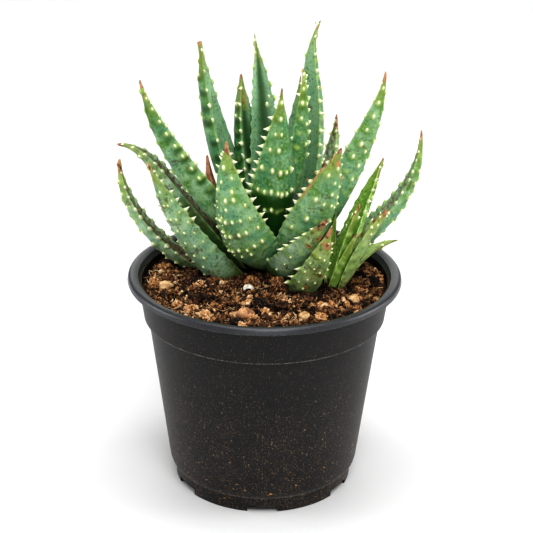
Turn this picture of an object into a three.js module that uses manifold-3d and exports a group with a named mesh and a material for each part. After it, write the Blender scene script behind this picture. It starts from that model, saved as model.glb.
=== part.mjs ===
// A lace aloe in a black plastic nursery pot. Millimetres, +Z up.
// The origin is the centre of the circle that the pot's feet stand on. +X is the plant's right, +Y its back.
import * as THREE from "three";
import { mergeVertices } from "three/addons/utils/BufferGeometryUtils.js";
import Module from "manifold-3d";

const wasm = await Module();
wasm.setup();

// ---------------------------------------------------------------- driving dimensions

const GAP = 0.3; // between any two pieces that touch on the real plant
const SEED = 7; // of every random draw
const WELD = 1e-4; // closer than this, two corners are one

// The pot: a thin moulded shell with a flat rolled rim, a collar, a tapered body and a notched foot.
const POT_HEIGHT = 100;
const POT_WALL = 1.2;
const POT_SEGMENTS = 40;
const RIM_RADIUS = 60;
const RIM_WIDTH = 4;
const LIP_RADIUS = 61;
const LIP_HEIGHT = 3;
const COLLAR_TOP_RADIUS = 56.3;
const COLLAR_FOOT_RADIUS = 53.9;
const COLLAR_HEIGHT = 19.6;
const STEP_HEIGHT = 0.6; // of the small step under the collar
const BODY_TOP_RADIUS = 51.9;
const BODY_FOOT_RADIUS = 42.9;
const BODY_FOOT_Z = 11;
const FOOT_LINE_RADIUS = 41.5;
const FOOT_LINE_Z = 7.7;
const FOOT_RADIUS = 40;
const FOOT_WALL = 2.4;
const FLOOR_Z = 5.5;
const NOTCHES = 6;
const NOTCH_WIDTH = 13.4;
const NOTCH_HEIGHT = 2.7;
const DRAIN_RADIUS = 4;
const DRAIN_CIRCLE = 27;
const DRAIN_SIDES = 12;
const EDGE = 0.6; // of the pot's rounded edges

// The potting mix fills the pot to a few millimetres under its rim.
const SOIL_LEVEL = 94.3;
const SOIL_MOUND = 1.8; // how much higher the mix stands in the middle
const SOIL_CRUMB = 1.3; // half height of its lumps
const SOIL_EDGE_SHARE = 0.4; // of the lumps' height, where the mix meets the wall
const SOIL_ROLL = { height: 0.4, across: 6.1, deep: 7.3 }; // slow rises and dips under the lumps
const SOIL_RINGS = 6;
const SOIL_SEGMENTS = 28;

// Pebbles that lie in the mix. across and tall are shares of the size along.
const PEBBLES = {
  pebble_left: { x: -44, y: -8, size: 6.2, across: 0.85, tall: 0.75 },
  pebble_white: { x: -7, y: -12, size: 5, across: 0.9, tall: 0.8 },
  pebble_front: { x: -8, y: -38, size: 9.6, across: 0.7, tall: 0.6 },
  pebble_front_right: { x: 17, y: -38, size: 5.2, across: 0.9, tall: 0.8 },
  pebble_right: { x: 39, y: -20, size: 5.4, across: 1, tall: 0.85 },
};
const PEBBLE_SUNK = 0.3; // share of its height that lies in the mix

// The plant's own short stem and, to its right, the stem of its offset.
const STEM = { x: 4, y: 18, radius: 5.8, top: 4.8, low: 75, high: 118 };
const OFFSET_STEM = { x: 30, y: -2, radius: 2.8, top: 2.2, low: 80, high: 98 };
const STEM_SIDES = 10;
const CROWN_HOLE = 9.5; // radius of the plain hole in the mix that the stem and the leaf bases stand in
const OFFSET_HOLE = 5;

// A leaf's section runs round it from the keel of its rounded lower face: shares of the half width, with
// the side of the leaf, 1 for its channelled upper face.
const SECTION = [[0, -1], [0.6, -1], [1, 1], [0.45, 1], [-0.45, 1], [-1, 1], [-0.6, -1]];
const MARGIN_LIFT = 0.22; // height of the margins over the channel, as a share of the half width
const LEAST_THICKNESS = 0.5;
const BASE_THICKNESS = 0.5; // share of the half width, at the base
const THICKNESS_GAIN = 0.45; // more of it towards the tip, where a leaf grows nearly round
const ROW_LENGTH = 11; // of a leaf between two of its sections
const WALK_STEPS = 8; // of the leaf's line within a row
const HOOK_START = 0.7; // share of the length where a hooked tip begins
const NECK = 0.5; // width at the stem, as a share of the greatest width
const SWELL = 0.12; // how much fuller than a plain taper a leaf is, halfway to its tip
const KEEL_POWER = 0.75; // of the lower face's curve, between an ellipse and a parabola
const LEAST_ROWS = 5;
const ROOM_ACROSS = 1.5; // how much more room a leaf's sharp margins need than its faces

// Marginal teeth and the pearly tubercles of the lower face, as three-sided spines.
const TOOTH = { length: 2, radius: 0.8, sunk: 0.9, pitch: 11.5 };
const TUBERCLE = { length: 1.1, radius: 0.9, sunk: 0.8, pitch: 16 };
const TIP_SHRINK = 0.35; // how much smaller the last teeth are
const TOOTH_STATION = 0.96; // share of the half width where a tooth stands
const TOOTH_LEAN = 0.3; // towards the tip
const TUBERCLE_ROWS = [[-0.2, 0.5], [-0.6, 0.1]]; // stations across the leaf, row about
const FIRST_SPINE_Z = SOIL_LEVEL + 7; // spines start where a leaf has cleared the mix
const SLIM_SHARE = 0.6; // past this share of the length the tubercles stand in one row

// Each leaf grows from its stem at a height, on a heading (0 is +X, 90 the back, -90 the front), at an
// angle of rise. Over its length it turns upward by curl, sideways by sway and, near its tip, up by hook.
// late moves the curl towards the tip, roll and twist turn the leaf about its own line, belly is where
// it is widest and taper how soon it narrows. seat is the side of the stem that it leaves, where that
// isn't its heading, and reach its distance from the stem's middle where that isn't the stem's side.
const LEAVES = {
  // outer leaves, which start under the mix
  leaf_low_left: {
    heading: 178, height: 83, length: 95, width: 12, rise: 17, curl: 65,
    late: 1.4, hook: 9, roll: 10, twist: -18, belly: 0.32, taper: 0.62,
  },
  leaf_arched_left: {
    heading: 174, height: 85, length: 95, width: 16, rise: 52, curl: -4,
    hook: -58, sway: -2, roll: 12, twist: -10, belly: 0.33, taper: 0.72,
  },
  leaf_front_left_low: {
    heading: -158, height: 77, length: 94, width: 17, rise: 41, curl: 28,
    roll: 42, twist: 4, belly: 0.29, taper: 0.8,
  },
  leaf_front_right_low: {
    heading: -61, height: 79, length: 70, width: 18, rise: 36, curl: 29,
    roll: 5, belly: 0.33, taper: 0.78,
  },
  leaf_front_low: {
    heading: -68, height: 92, length: 60, width: 19, rise: 46, curl: 0,
    sway: 15, roll: -17, twist: 24, belly: 0.2, taper: 0.76,
  },
  leaf_low_right: {
    heading: 0, height: 92, length: 97, width: 16, rise: 25, curl: 67,
    late: 1.65, sway: -6, roll: 8, belly: 0.31, taper: 0.93,
  },
  leaf_back_low_left: { heading: 148, height: 93, length: 52, width: 16, rise: 38, curl: 12 },
  leaf_back_low: { heading: 122, height: 90, length: 54, width: 18, rise: 32, curl: 14 },
  leaf_back_low_mid: { heading: 86, height: 88, length: 58, width: 17, rise: 42, curl: 16 },
  leaf_back_low_right: { heading: 52, height: 89, length: 56, width: 18, rise: 34, curl: 16 },
  // the middle of the rosette
  leaf_left_tall: {
    heading: -172, height: 105, length: 99, width: 18, rise: 44, curl: 23,
    sway: 5, hook: 10, roll: 26, belly: 0.3, taper: 0.88,
  },
  leaf_front_left: {
    heading: -128, height: 99, length: 72, width: 27, rise: 44, curl: 49,
    sway: -13, roll: 15, twist: -5, belly: 0.31, taper: 0.96,
  },
  leaf_front_right: {
    heading: -44, height: 99, length: 71, width: 25, rise: 58, curl: 9,
    sway: 4, hook: -3, roll: -2, twist: -15, belly: 0.37, taper: 0.75,
  },
  leaf_right_tall: {
    heading: -12, height: 96, length: 105, width: 19, rise: 58, curl: 13,
    sway: 2, hook: 15, roll: -29, twist: -7, belly: 0.33, taper: 0.85,
  },
  leaf_back_left_tall: {
    heading: 162, height: 107, length: 96, width: 19, rise: 62, curl: 20,
    roll: 2, belly: 0.33, taper: 0.89,
  },
  leaf_back_right: {
    heading: 43, height: 100, length: 70, width: 13, rise: 37, curl: 51,
    sway: -7, belly: 0.33, taper: 0.81,
  },
  leaf_back_mid_left: { heading: 108, height: 101, length: 72, width: 19, rise: 50, curl: 16 },
  leaf_back_mid_right: { heading: 68, height: 99, length: 70, width: 18, rise: 50, curl: 16 },
  // the upright heart
  leaf_front_mid: {
    heading: -88, height: 112, length: 75, width: 23, rise: 82, curl: -3,
    sway: 18, roll: 13, twist: 10, belly: 0.32, taper: 1.1,
  },
  leaf_inner_left: {
    heading: 133, height: 115, length: 69, width: 18, rise: 67, curl: 18,
    sway: 4, roll: 17, twist: -4, belly: 0.33, taper: 0.84,
  },
  leaf_back_mid: {
    heading: 104, height: 109, length: 91, width: 17, rise: 81, curl: -14,
    sway: 10, roll: -6, belly: 0.31, taper: 0.9,
  },
  leaf_back_right_tall: {
    heading: 31, height: 105, length: 105, width: 18, rise: 67, curl: 36,
    sway: 8, hook: -52, roll: 3, twist: 10, belly: 0.34, taper: 0.93,
  },
  leaf_inner_right: {
    heading: -30, height: 114, length: 78, width: 10, rise: 78, curl: 11,
    hook: 4, roll: -15, belly: 0.3, taper: 0.8,
  },
  leaf_inner_back: {
    heading: 62, height: 115, length: 67, width: 11, rise: 69, curl: 14,
    sway: -11, roll: 4, belly: 0.29, taper: 0.93,
  },
  leaf_heart_left: { heading: 195, reach: 2.2, height: 117.6, length: 33, width: 7.5, rise: 80, curl: 8 },
  leaf_heart_right: { heading: 15, reach: 2.2, height: 117.6, length: 29, width: 7, rise: 80, curl: 8 },
  // a small dried leaf
  leaf_dry: {
    heading: 168, height: 98, length: 56, width: 9, rise: 40, curl: 45, taper: 0.7, plain: true,
  },
};

// The offset's leaves, on its own stem.
const OFFSET_LEAVES = {
  offset_leaf_back: {
    heading: 34, seat: 80, height: 90, length: 65, width: 12, rise: 76, curl: -21,
    roll: -3, hook: 6, belly: 0.31, taper: 0.77,
  },
  offset_leaf_inner: { heading: 62, seat: 140, height: 91, length: 38, width: 4.5, rise: 78, curl: 2 },
  offset_leaf_left: {
    heading: -14, seat: 215, height: 91, length: 47, width: 7.5, rise: 79, curl: -12,
    roll: 17, belly: 0.34, taper: 0.8,
  },
  offset_leaf_right: {
    heading: -12, seat: -30, height: 92, length: 48, width: 10, rise: 79, curl: -33,
    roll: 10, belly: 0.34, taper: 0.7,
  },
  offset_leaf_front: {
    heading: -26, seat: -125, height: 91, length: 35, width: 6, rise: 75, curl: -14,
    belly: 0.3, taper: 0.9,
  },
  offset_leaf_outer: {
    heading: 14, seat: 10, height: 91, length: 39, width: 7, rise: 78, curl: -78, roll: 8,
  },
};

// ---------------------------------------------------------------- small tools

const radians = THREE.MathUtils.degToRad;
const mix = THREE.MathUtils.lerp;

/** A seeded source of numbers from 0 to 1. */
function randomSource(seed) {
  let state = seed >>> 0;
  return () => {
    state = (Math.imul(state, 1664525) + 1013904223) >>> 0;
    return state / 2 ** 32;
  };
}

/** The solid that a closed three.js geometry bounds. */
function solidOf(geometry) {
  const bare = new THREE.BufferGeometry();
  bare.setAttribute("position", geometry.getAttribute("position"));
  bare.setIndex(geometry.getIndex());
  const merged = mergeVertices(bare, WELD);
  const mesh = new wasm.Mesh({
    numProp: 3,
    vertProperties: new Float32Array(merged.getAttribute("position").array),
    triVerts: new Uint32Array(merged.getIndex().array),
  });
  return new wasm.Manifold(mesh);
}

/** A three.js geometry with a solid's faces. */
function geometryOf(solid) {
  const { vertProperties, triVerts } = solid.getMesh();
  const geometry = new THREE.BufferGeometry();
  geometry.setAttribute("position", new THREE.BufferAttribute(new Float32Array(vertProperties), 3));
  geometry.setIndex(new THREE.BufferAttribute(new Uint32Array(triVerts), 1));
  geometry.computeVertexNormals();
  return geometry;
}

/** The largest separate body of a solid. */
function largestBody(solid) {
  return solid.decompose().reduce((best, body) => (body.volume() > best.volume() ? body : best));
}

/** Whether two solids meet. */
function meet(one, other) {
  return !one.intersect(other).isEmpty();
}

/** A closed geometry from rings of points, each ring with the same count, capped at both ends. */
function loftedGeometry(rings) {
  const around = rings[0].length;
  const faces = [];
  for (let row = 0; row + 1 < rings.length; row++) {
    for (let i = 0; i < around; i++) {
      const a = row * around + i;
      const b = row * around + ((i + 1) % around);
      faces.push(a, b, a + around, b, b + around, a + around);
    }
  }
  const last = (rings.length - 1) * around;
  for (let i = 1; i + 1 < around; i++) {
    faces.push(0, i + 1, i);
    faces.push(last, last + i, last + i + 1);
  }
  const geometry = new THREE.BufferGeometry().setFromPoints(rings.flat());
  geometry.setIndex(faces);
  return geometry;
}

/** A circle of points at a height. */
function circleAt(radius, z, count) {
  return Array.from({ length: count }, (_, i) => {
    const turn = (i * 2 * Math.PI) / count;
    return new THREE.Vector3(radius * Math.cos(turn), radius * Math.sin(turn), z);
  });
}

// ---------------------------------------------------------------- leaves

/** Half width at a share s of the length, as a share of the leaf's greatest half width. */
function outline(s, { belly = 0.28, taper = 0.95 }) {
  if (s < belly) return NECK + (1 - NECK) * Math.sin(((s / belly) * Math.PI) / 2);
  const t = (s - belly) / (1 - belly);
  return (1 - t) ** taper * (1 + SWELL * Math.sin(Math.PI * t));
}

/** Where the leaf leaves its stem. */
function leafStart(leaf, stem) {
  const seat = radians(leaf.seat ?? leaf.heading);
  const share = (leaf.height - stem.low) / (stem.high - stem.low);
  const reach = leaf.reach ?? mix(stem.radius, stem.top, share) + GAP;
  return new THREE.Vector3(stem.x + reach * Math.cos(seat), stem.y + reach * Math.sin(seat), leaf.height);
}

/** The leaf's line: places with their along, across and upper-face directions, from base to tip. */
function leafLine(leaf, stem, rows) {
  const { sway = 0, hook = 0, late = 1, roll = 0, twist = 0 } = leaf;
  const at = leafStart(leaf, stem);
  const line = [];
  const steps = rows * WALK_STEPS;
  for (let i = 0; i <= steps; i++) {
    const s = i / steps;
    const hooked = Math.max(0, (s - HOOK_START) / (1 - HOOK_START)) ** 2;
    const rise = radians(leaf.rise + leaf.curl * s ** late + hook * hooked);
    const turn = radians(leaf.heading + sway * s);
    const along = new THREE.Vector3(
      Math.cos(turn) * Math.cos(rise),
      Math.sin(turn) * Math.cos(rise),
      Math.sin(rise),
    );
    if (i > 0) at.addScaledVector(along, leaf.length / steps);
    if (i % WALK_STEPS) continue;
    const across = new THREE.Vector3(-Math.sin(turn), Math.cos(turn), 0);
    across.applyAxisAngle(along, radians(roll + twist * s));
    const upper = new THREE.Vector3().crossVectors(along, across);
    line.push({ s, at: at.clone(), along, across, upper });
  }
  return line;
}

/** A point on the leaf: u runs from -1 to 1 across it, and side is 1 on the upper face, -1 on the lower. */
function leafPoint(place, leaf, u, side, extra = 0) {
  const half = (leaf.width / 2) * outline(place.s, leaf);
  const thick = half * (BASE_THICKNESS + THICKNESS_GAIN * place.s) + LEAST_THICKNESS + extra;
  const channel = MARGIN_LIFT * half * (u * u - 0.5);
  const bulge = side > 0 ? extra : -thick * (1 - u * u) ** KEEL_POWER;
  return place.at
    .clone()
    .addScaledVector(place.across, u * (half + ROOM_ACROSS * extra))
    .addScaledVector(place.upper, channel + bulge);
}

/** The bare leaf as a solid. extra makes it fatter all over, for the room that it needs. */
function leafBody(leaf, stem, extra = 0) {
  const line = leafLine(leaf, stem, Math.max(LEAST_ROWS, Math.round(leaf.length / ROW_LENGTH)));
  line[0].at.addScaledVector(line[0].along, -extra);
  const end = line.pop();
  const rings = line.map((place) => SECTION.map(([u, side]) => leafPoint(place, leaf, u, side, extra)));
  const point = end.at.addScaledVector(end.along, extra);
  rings.push(rings[0].map(() => point.clone()));
  return solidOf(loftedGeometry(rings));
}

/** A three-sided spine that stands on a point and leans along a direction. */
function spineSolid(foot, direction, { length, radius, sunk }, scale) {
  const geometry = new THREE.ConeGeometry(radius * scale, (length + sunk) * scale, 3);
  geometry.translate(0, ((length - sunk) * scale) / 2, 0);
  const up = new THREE.Vector3(0, 1, 0);
  const turn = new THREE.Quaternion().setFromUnitVectors(up, direction.clone().normalize());
  geometry.applyQuaternion(turn);
  geometry.translate(foot.x, foot.y, foot.z);
  return solidOf(geometry);
}

/** The places along a leaf where spines stand, a pitch apart. */
function spinePlaces(leaf, stem, pitch) {
  const line = leafLine(leaf, stem, Math.round(leaf.length / pitch));
  return line.slice(1, -1).filter((place) => place.at.z > FIRST_SPINE_Z);
}

/** Teeth along both margins of a leaf. */
function teethOf(leaf, stem) {
  return spinePlaces(leaf, stem, TOOTH.pitch).flatMap((place) =>
    [-1, 1].map((u) => {
      const direction = place.across.clone().multiplyScalar(u).addScaledVector(place.along, TOOTH_LEAN);
      const foot = leafPoint(place, leaf, u * TOOTH_STATION, 1);
      return spineSolid(foot, direction, TOOTH, 1 - TIP_SHRINK * place.s);
    }),
  );
}

/** Tubercles down the lower face of a leaf, in staggered rows. */
function tuberclesOf(leaf, stem) {
  return spinePlaces(leaf, stem, TUBERCLE.pitch).flatMap((place, row) => {
    const stations = place.s > SLIM_SHARE ? [0] : TUBERCLE_ROWS[row % TUBERCLE_ROWS.length];
    return stations.map((u) => {
      const direction = place.across.clone().multiplyScalar(u).sub(place.upper);
      return spineSolid(leafPoint(place, leaf, u, -1), direction, TUBERCLE, 1);
    });
  });
}

// ---------------------------------------------------------------- pot, mix, stems and pebbles

/** The inner wall's radius at a height. */
function innerRadius(z) {
  const collarZ = POT_HEIGHT - COLLAR_HEIGHT;
  if (z >= collarZ) {
    return mix(COLLAR_FOOT_RADIUS, COLLAR_TOP_RADIUS, (z - collarZ) / COLLAR_HEIGHT) - POT_WALL;
  }
  return mix(BODY_FOOT_RADIUS, BODY_TOP_RADIUS, (z - BODY_FOOT_Z) / (collarZ - BODY_FOOT_Z)) - POT_WALL;
}

/** The pot's wall as radius and height pairs, from the middle of its underside round to its inside floor. */
function potProfile() {
  const collarZ = POT_HEIGHT - COLLAR_HEIGHT;
  const lipZ = POT_HEIGHT - LIP_HEIGHT;
  return [
    [0, FLOOR_Z],
    [FOOT_RADIUS - FOOT_WALL, FLOOR_Z],
    [FOOT_RADIUS - FOOT_WALL, 0],
    [FOOT_RADIUS - EDGE, 0],
    [FOOT_RADIUS, EDGE],
    [FOOT_LINE_RADIUS - 2 * EDGE, FOOT_LINE_Z],
    [FOOT_LINE_RADIUS, FOOT_LINE_Z],
    [BODY_FOOT_RADIUS - EDGE, mix(FOOT_LINE_Z, BODY_FOOT_Z, 0.4)],
    [BODY_FOOT_RADIUS, BODY_FOOT_Z],
    [BODY_TOP_RADIUS, collarZ - STEP_HEIGHT],
    [COLLAR_FOOT_RADIUS, collarZ],
    [COLLAR_TOP_RADIUS, lipZ],
    [LIP_RADIUS, lipZ],
    [RIM_RADIUS, POT_HEIGHT - EDGE],
    [RIM_RADIUS - EDGE, POT_HEIGHT],
    [RIM_RADIUS - RIM_WIDTH + EDGE, POT_HEIGHT],
    [RIM_RADIUS - RIM_WIDTH, POT_HEIGHT - EDGE],
    [innerRadius(lipZ), lipZ],
    [innerRadius(collarZ), collarZ],
    [BODY_TOP_RADIUS - POT_WALL, collarZ - STEP_HEIGHT],
    [BODY_FOOT_RADIUS - POT_WALL, BODY_FOOT_Z],
    [BODY_FOOT_RADIUS - FOOT_WALL - POT_WALL, FLOOR_Z + POT_WALL],
    [0, FLOOR_Z + POT_WALL],
  ];
}

/** A block that cuts one notch in the foot ring. */
function notchSolid(turn) {
  const depth = 4 * FOOT_WALL;
  const notch = new THREE.BoxGeometry(depth, NOTCH_WIDTH, 2 * NOTCH_HEIGHT);
  notch.translate(FOOT_RADIUS, 0, 0);
  notch.rotateZ(turn);
  return solidOf(notch);
}

/** A plug that cuts one drain hole in the floor. */
function drainSolid(turn) {
  const drain = new THREE.CylinderGeometry(DRAIN_RADIUS, DRAIN_RADIUS, 4 * POT_WALL, DRAIN_SIDES);
  drain.rotateX(Math.PI / 2);
  drain.translate(DRAIN_CIRCLE, 0, FLOOR_Z + POT_WALL / 2);
  drain.rotateZ(turn);
  return solidOf(drain);
}

/** The moulded pot. */
function potSolid() {
  const profile = potProfile().map(([radius, z]) => new THREE.Vector2(radius, z));
  const shell = new THREE.LatheGeometry(profile, POT_SEGMENTS);
  shell.rotateX(Math.PI / 2);
  let pot = solidOf(shell);
  for (let i = 0; i < NOTCHES; i++) {
    const turn = -Math.PI / 2 + (i * 2 * Math.PI) / NOTCHES;
    pot = pot.subtract(notchSolid(turn)).subtract(drainSolid(turn + Math.PI / NOTCHES));
  }
  return pot;
}

/** Height of the mix's surface over a point: a low mound with rolls. */
function soilHeight(x, y) {
  const out = Math.hypot(x, y) / innerRadius(SOIL_LEVEL);
  const roll = Math.sin(x / SOIL_ROLL.across + 1) * Math.cos(y / SOIL_ROLL.deep);
  return SOIL_LEVEL + SOIL_MOUND * (1 - out * out) + SOIL_ROLL.height * roll;
}

/** The potting mix, which fills the pot's inside. */
function soilSolid(random) {
  const collarZ = POT_HEIGHT - COLLAR_HEIGHT;
  const slack = 2 * GAP; // the wall's flats stand closer than its corners
  const floor = BODY_FOOT_RADIUS - FOOT_WALL - POT_WALL - slack;
  const rings = [circleAt(floor, FLOOR_Z + POT_WALL + GAP, SOIL_SEGMENTS)];
  for (const z of [BODY_FOOT_Z, collarZ - POT_WALL, collarZ + POT_WALL]) {
    rings.push(circleAt(innerRadius(z) - slack, z, SOIL_SEGMENTS));
  }
  const edge = innerRadius(SOIL_LEVEL) - slack;
  for (let ring = SOIL_RINGS; ring >= 1; ring--) {
    const lump = ring < SOIL_RINGS ? SOIL_CRUMB : SOIL_EDGE_SHARE * SOIL_CRUMB;
    const circle = circleAt((edge * ring) / SOIL_RINGS, 0, SOIL_SEGMENTS);
    for (const point of circle) point.z = soilHeight(point.x, point.y) + lump * (2 * random() - 1);
    rings.push(circle);
  }
  return solidOf(loftedGeometry(rings));
}

/** A short upright stem, round and slightly tapered. extra makes it fatter. */
function stemSolid(stem, extra = 0) {
  const height = stem.high - stem.low + 2 * extra;
  const geometry = new THREE.CylinderGeometry(stem.top + extra, stem.radius + extra, height, STEM_SIDES);
  geometry.rotateX(Math.PI / 2);
  geometry.translate(stem.x, stem.y, (stem.low + stem.high) / 2);
  return solidOf(geometry);
}

/** A plug for the plain hole in the mix round a stem. */
function crownHole(stem, radius) {
  return stemSolid({ ...stem, radius, top: radius, low: stem.low - GAP, high: POT_HEIGHT });
}

/** A worn pebble, partly sunk in the mix. extra makes it fatter. */
function pebbleSolid({ x, y, size, across, tall }, extra = 0) {
  const geometry = new THREE.IcosahedronGeometry(size / 2 + extra, 1);
  geometry.scale(1, across, tall);
  const height = size * tall;
  geometry.translate(x, y, soilHeight(x, y) + height * (0.5 - PEBBLE_SUNK));
  return solidOf(new THREE.BufferGeometry().copy(geometry).setIndex(indexOf(geometry)));
}

/** A plain index for a geometry that has none. */
function indexOf(geometry) {
  return Array.from({ length: geometry.getAttribute("position").count }, (_, i) => i);
}

// ---------------------------------------------------------------- assembly

const FINISHES = {
  pot: new THREE.MeshStandardMaterial({ color: 0x2b2c2d, roughness: 0.5, metalness: 0 }),
  soil: new THREE.MeshStandardMaterial({ color: 0x4a2f1c, roughness: 0.95, metalness: 0 }),
  pebble: new THREE.MeshStandardMaterial({ color: 0xb08658, roughness: 0.8, metalness: 0 }),
  leaf: new THREE.MeshStandardMaterial({ color: 0x4f8661, roughness: 0.5, metalness: 0 }),
  offset: new THREE.MeshStandardMaterial({ color: 0x6fa03c, roughness: 0.45, metalness: 0 }),
  stem: new THREE.MeshStandardMaterial({ color: 0x7d7a4a, roughness: 0.8, metalness: 0 }),
};

const plant = new THREE.Group();

/** Adds one named piece to the plant. */
function add(name, solid, finish) {
  const mesh = new THREE.Mesh(geometryOf(solid), FINISHES[finish]);
  mesh.name = name;
  plant.add(mesh);
}

/** Every leaf with its stem, its finish and the room that it needs. */
function grownLeaves() {
  const grow = (leaves, stem, finish) =>
    Object.entries(leaves).map(([name, leaf]) => {
      const room = leafBody(leaf, stem, GAP);
      return { name, leaf, stem, finish, room };
    });
  return [...grow(LEAVES, STEM, "leaf"), ...grow(OFFSET_LEAVES, OFFSET_STEM, "offset")];
}

/** A leaf pressed against its stem and the leaves below it, with those of its spines that have room. */
function leafSolid({ leaf, stem }, below, above) {
  const rooms = [...below, ...above].map((other) => other.room);
  let solid = leafBody(leaf, stem);
  for (const room of [stemSolid(stem, GAP), ...rooms.slice(0, below.length)]) {
    if (meet(solid, room)) solid = solid.subtract(room);
  }
  solid = largestBody(solid);
  if (leaf.plain) return solid;
  const obstacles = [...rooms, ...below.map((other) => other.solid)];
  return [...teethOf(leaf, stem), ...tuberclesOf(leaf, stem)]
    .filter((spine) => meet(spine, solid) && !obstacles.some((obstacle) => meet(spine, obstacle)))
    .reduce((sum, spine) => sum.add(spine), solid);
}

const leaves = grownLeaves();
let soil = soilSolid(randomSource(SEED));
leaves.forEach((piece, i) => {
  piece.solid = leafSolid(piece, leaves.slice(0, i), leaves.slice(i + 1));
  soil = soil.subtract(piece.room);
  add(piece.name, piece.solid, piece.finish);
});
soil = soil.subtract(crownHole(STEM, CROWN_HOLE)).subtract(crownHole(OFFSET_STEM, OFFSET_HOLE));
add("stem", stemSolid(STEM), "stem");
add("offset_stem", stemSolid(OFFSET_STEM), "stem");
for (const [name, pebble] of Object.entries(PEBBLES)) {
  soil = soil.subtract(pebbleSolid(pebble, GAP));
  add(name, pebbleSolid(pebble), "pebble");
}
add("soil", largestBody(soil), "soil");
add("pot", potSolid(), "pot");

export default plant;
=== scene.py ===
"""A toothed aloe and its young offset, in a black nursery pot of peat and bark.

Each leaf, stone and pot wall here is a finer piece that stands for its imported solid. Its line, width and
place repeat the solid's own values, and spines that would leave the solids' box are left out.
Lengths in the classes are millimetres and angles are degrees, unless a class says otherwise.
"""

import logging
import math
import random
from bisect import bisect_left, bisect_right
from dataclasses import dataclass, field
from enum import Enum
from functools import cached_property
from typing import Callable, Iterable, Iterator, Sequence

import bmesh
import bpy
from mathutils import Matrix, Quaternion, Vector, noise
from mathutils.bvhtree import BVHTree


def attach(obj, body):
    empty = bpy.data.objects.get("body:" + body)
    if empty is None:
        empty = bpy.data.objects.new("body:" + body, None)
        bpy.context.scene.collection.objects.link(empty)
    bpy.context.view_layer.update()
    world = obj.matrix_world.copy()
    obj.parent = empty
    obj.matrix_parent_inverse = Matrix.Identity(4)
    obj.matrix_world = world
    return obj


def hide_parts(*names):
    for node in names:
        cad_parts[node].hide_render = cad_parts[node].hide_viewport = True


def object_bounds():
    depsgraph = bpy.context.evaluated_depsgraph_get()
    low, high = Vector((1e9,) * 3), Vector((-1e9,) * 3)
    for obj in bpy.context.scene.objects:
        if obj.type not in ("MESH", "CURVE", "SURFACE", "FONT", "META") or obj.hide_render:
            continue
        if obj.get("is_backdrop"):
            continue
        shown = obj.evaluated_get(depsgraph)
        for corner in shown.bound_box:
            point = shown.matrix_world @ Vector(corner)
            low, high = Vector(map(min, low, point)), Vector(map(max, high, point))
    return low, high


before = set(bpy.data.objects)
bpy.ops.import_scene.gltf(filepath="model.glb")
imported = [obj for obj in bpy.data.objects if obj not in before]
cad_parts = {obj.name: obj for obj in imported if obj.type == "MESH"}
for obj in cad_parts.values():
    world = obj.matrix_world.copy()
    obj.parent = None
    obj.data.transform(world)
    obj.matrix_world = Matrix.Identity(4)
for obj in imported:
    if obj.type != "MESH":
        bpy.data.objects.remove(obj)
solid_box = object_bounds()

log = logging.getLogger("aloe")

MM = 0.001  # one millimetre, in metres
SEED = 11

Paint = dict[str, float]
Ring = list[int]
Socket = bpy.types.NodeSocket
Settings = dict[str | int, object]  # values by a node's input or property
Links = dict[str | int, Socket]  # sources by a node's input


# ---- small helpers


def linear(colour: str) -> tuple[float, float, float, float]:
    """Turns an sRGB colour to linear light.

    Args:
        colour: Six hex digits after a hash sign.

    Returns:
        Red, green, blue and an alpha of one.
    """
    channels = [int(colour[i : i + 2], 16) / 255 for i in (1, 3, 5)]
    red, green, blue = (c / 12.92 if c <= 0.04045 else ((c + 0.055) / 1.055) ** 2.4 for c in channels)
    return red, green, blue, 1.0


def mix(low: float, high: float, share: float) -> float:
    """Returns the value a share of the way from low to high."""
    return low + (high - low) * share


def smooth(low: float, high: float, value: float) -> float:
    """Returns 0 at low and 1 at high, with a soft run between them, and holds beyond."""
    share = min(1.0, max(0.0, (value - low) / (high - low)))
    return share * share * (3 - 2 * share)


def bell(x: float, y: float, half_x: float, half_y: float) -> float:
    """Returns a soft hill's height: 1 at its middle, and less with x and y in units of its half sizes."""
    return math.exp(-((x / half_x) ** 2) - (y / half_y) ** 2)


def direction(turn: float, rise: float) -> Vector:
    """Returns the direction at a turn round the upright axis and a rise over level, both in radians."""
    return Vector((math.cos(turn) * math.cos(rise), math.sin(turn) * math.cos(rise), math.sin(rise)))


def grain(at: Vector, size: float) -> float:
    """Returns smooth noise from -1 to 1 whose lumps are about size across."""
    return noise.noise(at / size)


def oval(
    middle: Vector, one: Vector, other: Vector, half_one: float, half_other: float, count: int
) -> Iterator[Vector]:
    """Walks round an oval.

    Args:
        middle: The oval's middle.
        one: The direction of its first axis.
        other: The direction of its second axis.
        half_one: Half its size along the first.
        half_other: Half its size along the second.
        count: How many points it has.

    Yields:
        The points, from the first axis towards the second.
    """
    for i in range(count):
        turn = 2 * math.pi * i / count
        yield middle + one * (math.cos(turn) * half_one) + other * (math.sin(turn) * half_other)


def add_node(
    tree: bpy.types.NodeTree, kind: str, settings: Settings | None = None, links: Links | None = None
) -> bpy.types.Node:
    """Adds one node to a material.

    Args:
        tree: The material's node tree.
        kind: Blender's name for the node's type.
        settings: Values by input socket (its name or number) or by the node's own property.
        links: Output sockets of other nodes, by the input socket that each feeds.

    Returns:
        The new node.
    """
    node = tree.nodes.new(kind)
    for name, value in (settings or {}).items():
        if isinstance(name, str) and name not in node.inputs:
            setattr(node, name, value)
    for name, value in (settings or {}).items():
        if isinstance(name, int) or name in node.inputs:
            node.inputs[name].default_value = value
    for name, source in (links or {}).items():
        tree.links.new(source, node.inputs[name])
    return node


EAST, NORTH = Vector((1, 0, 0)), Vector((0, 1, 0))  # to the right and to the back
MIX_A, MIX_B, MIXED = 6, 7, 2  # a colour mix node's inputs and output


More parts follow.
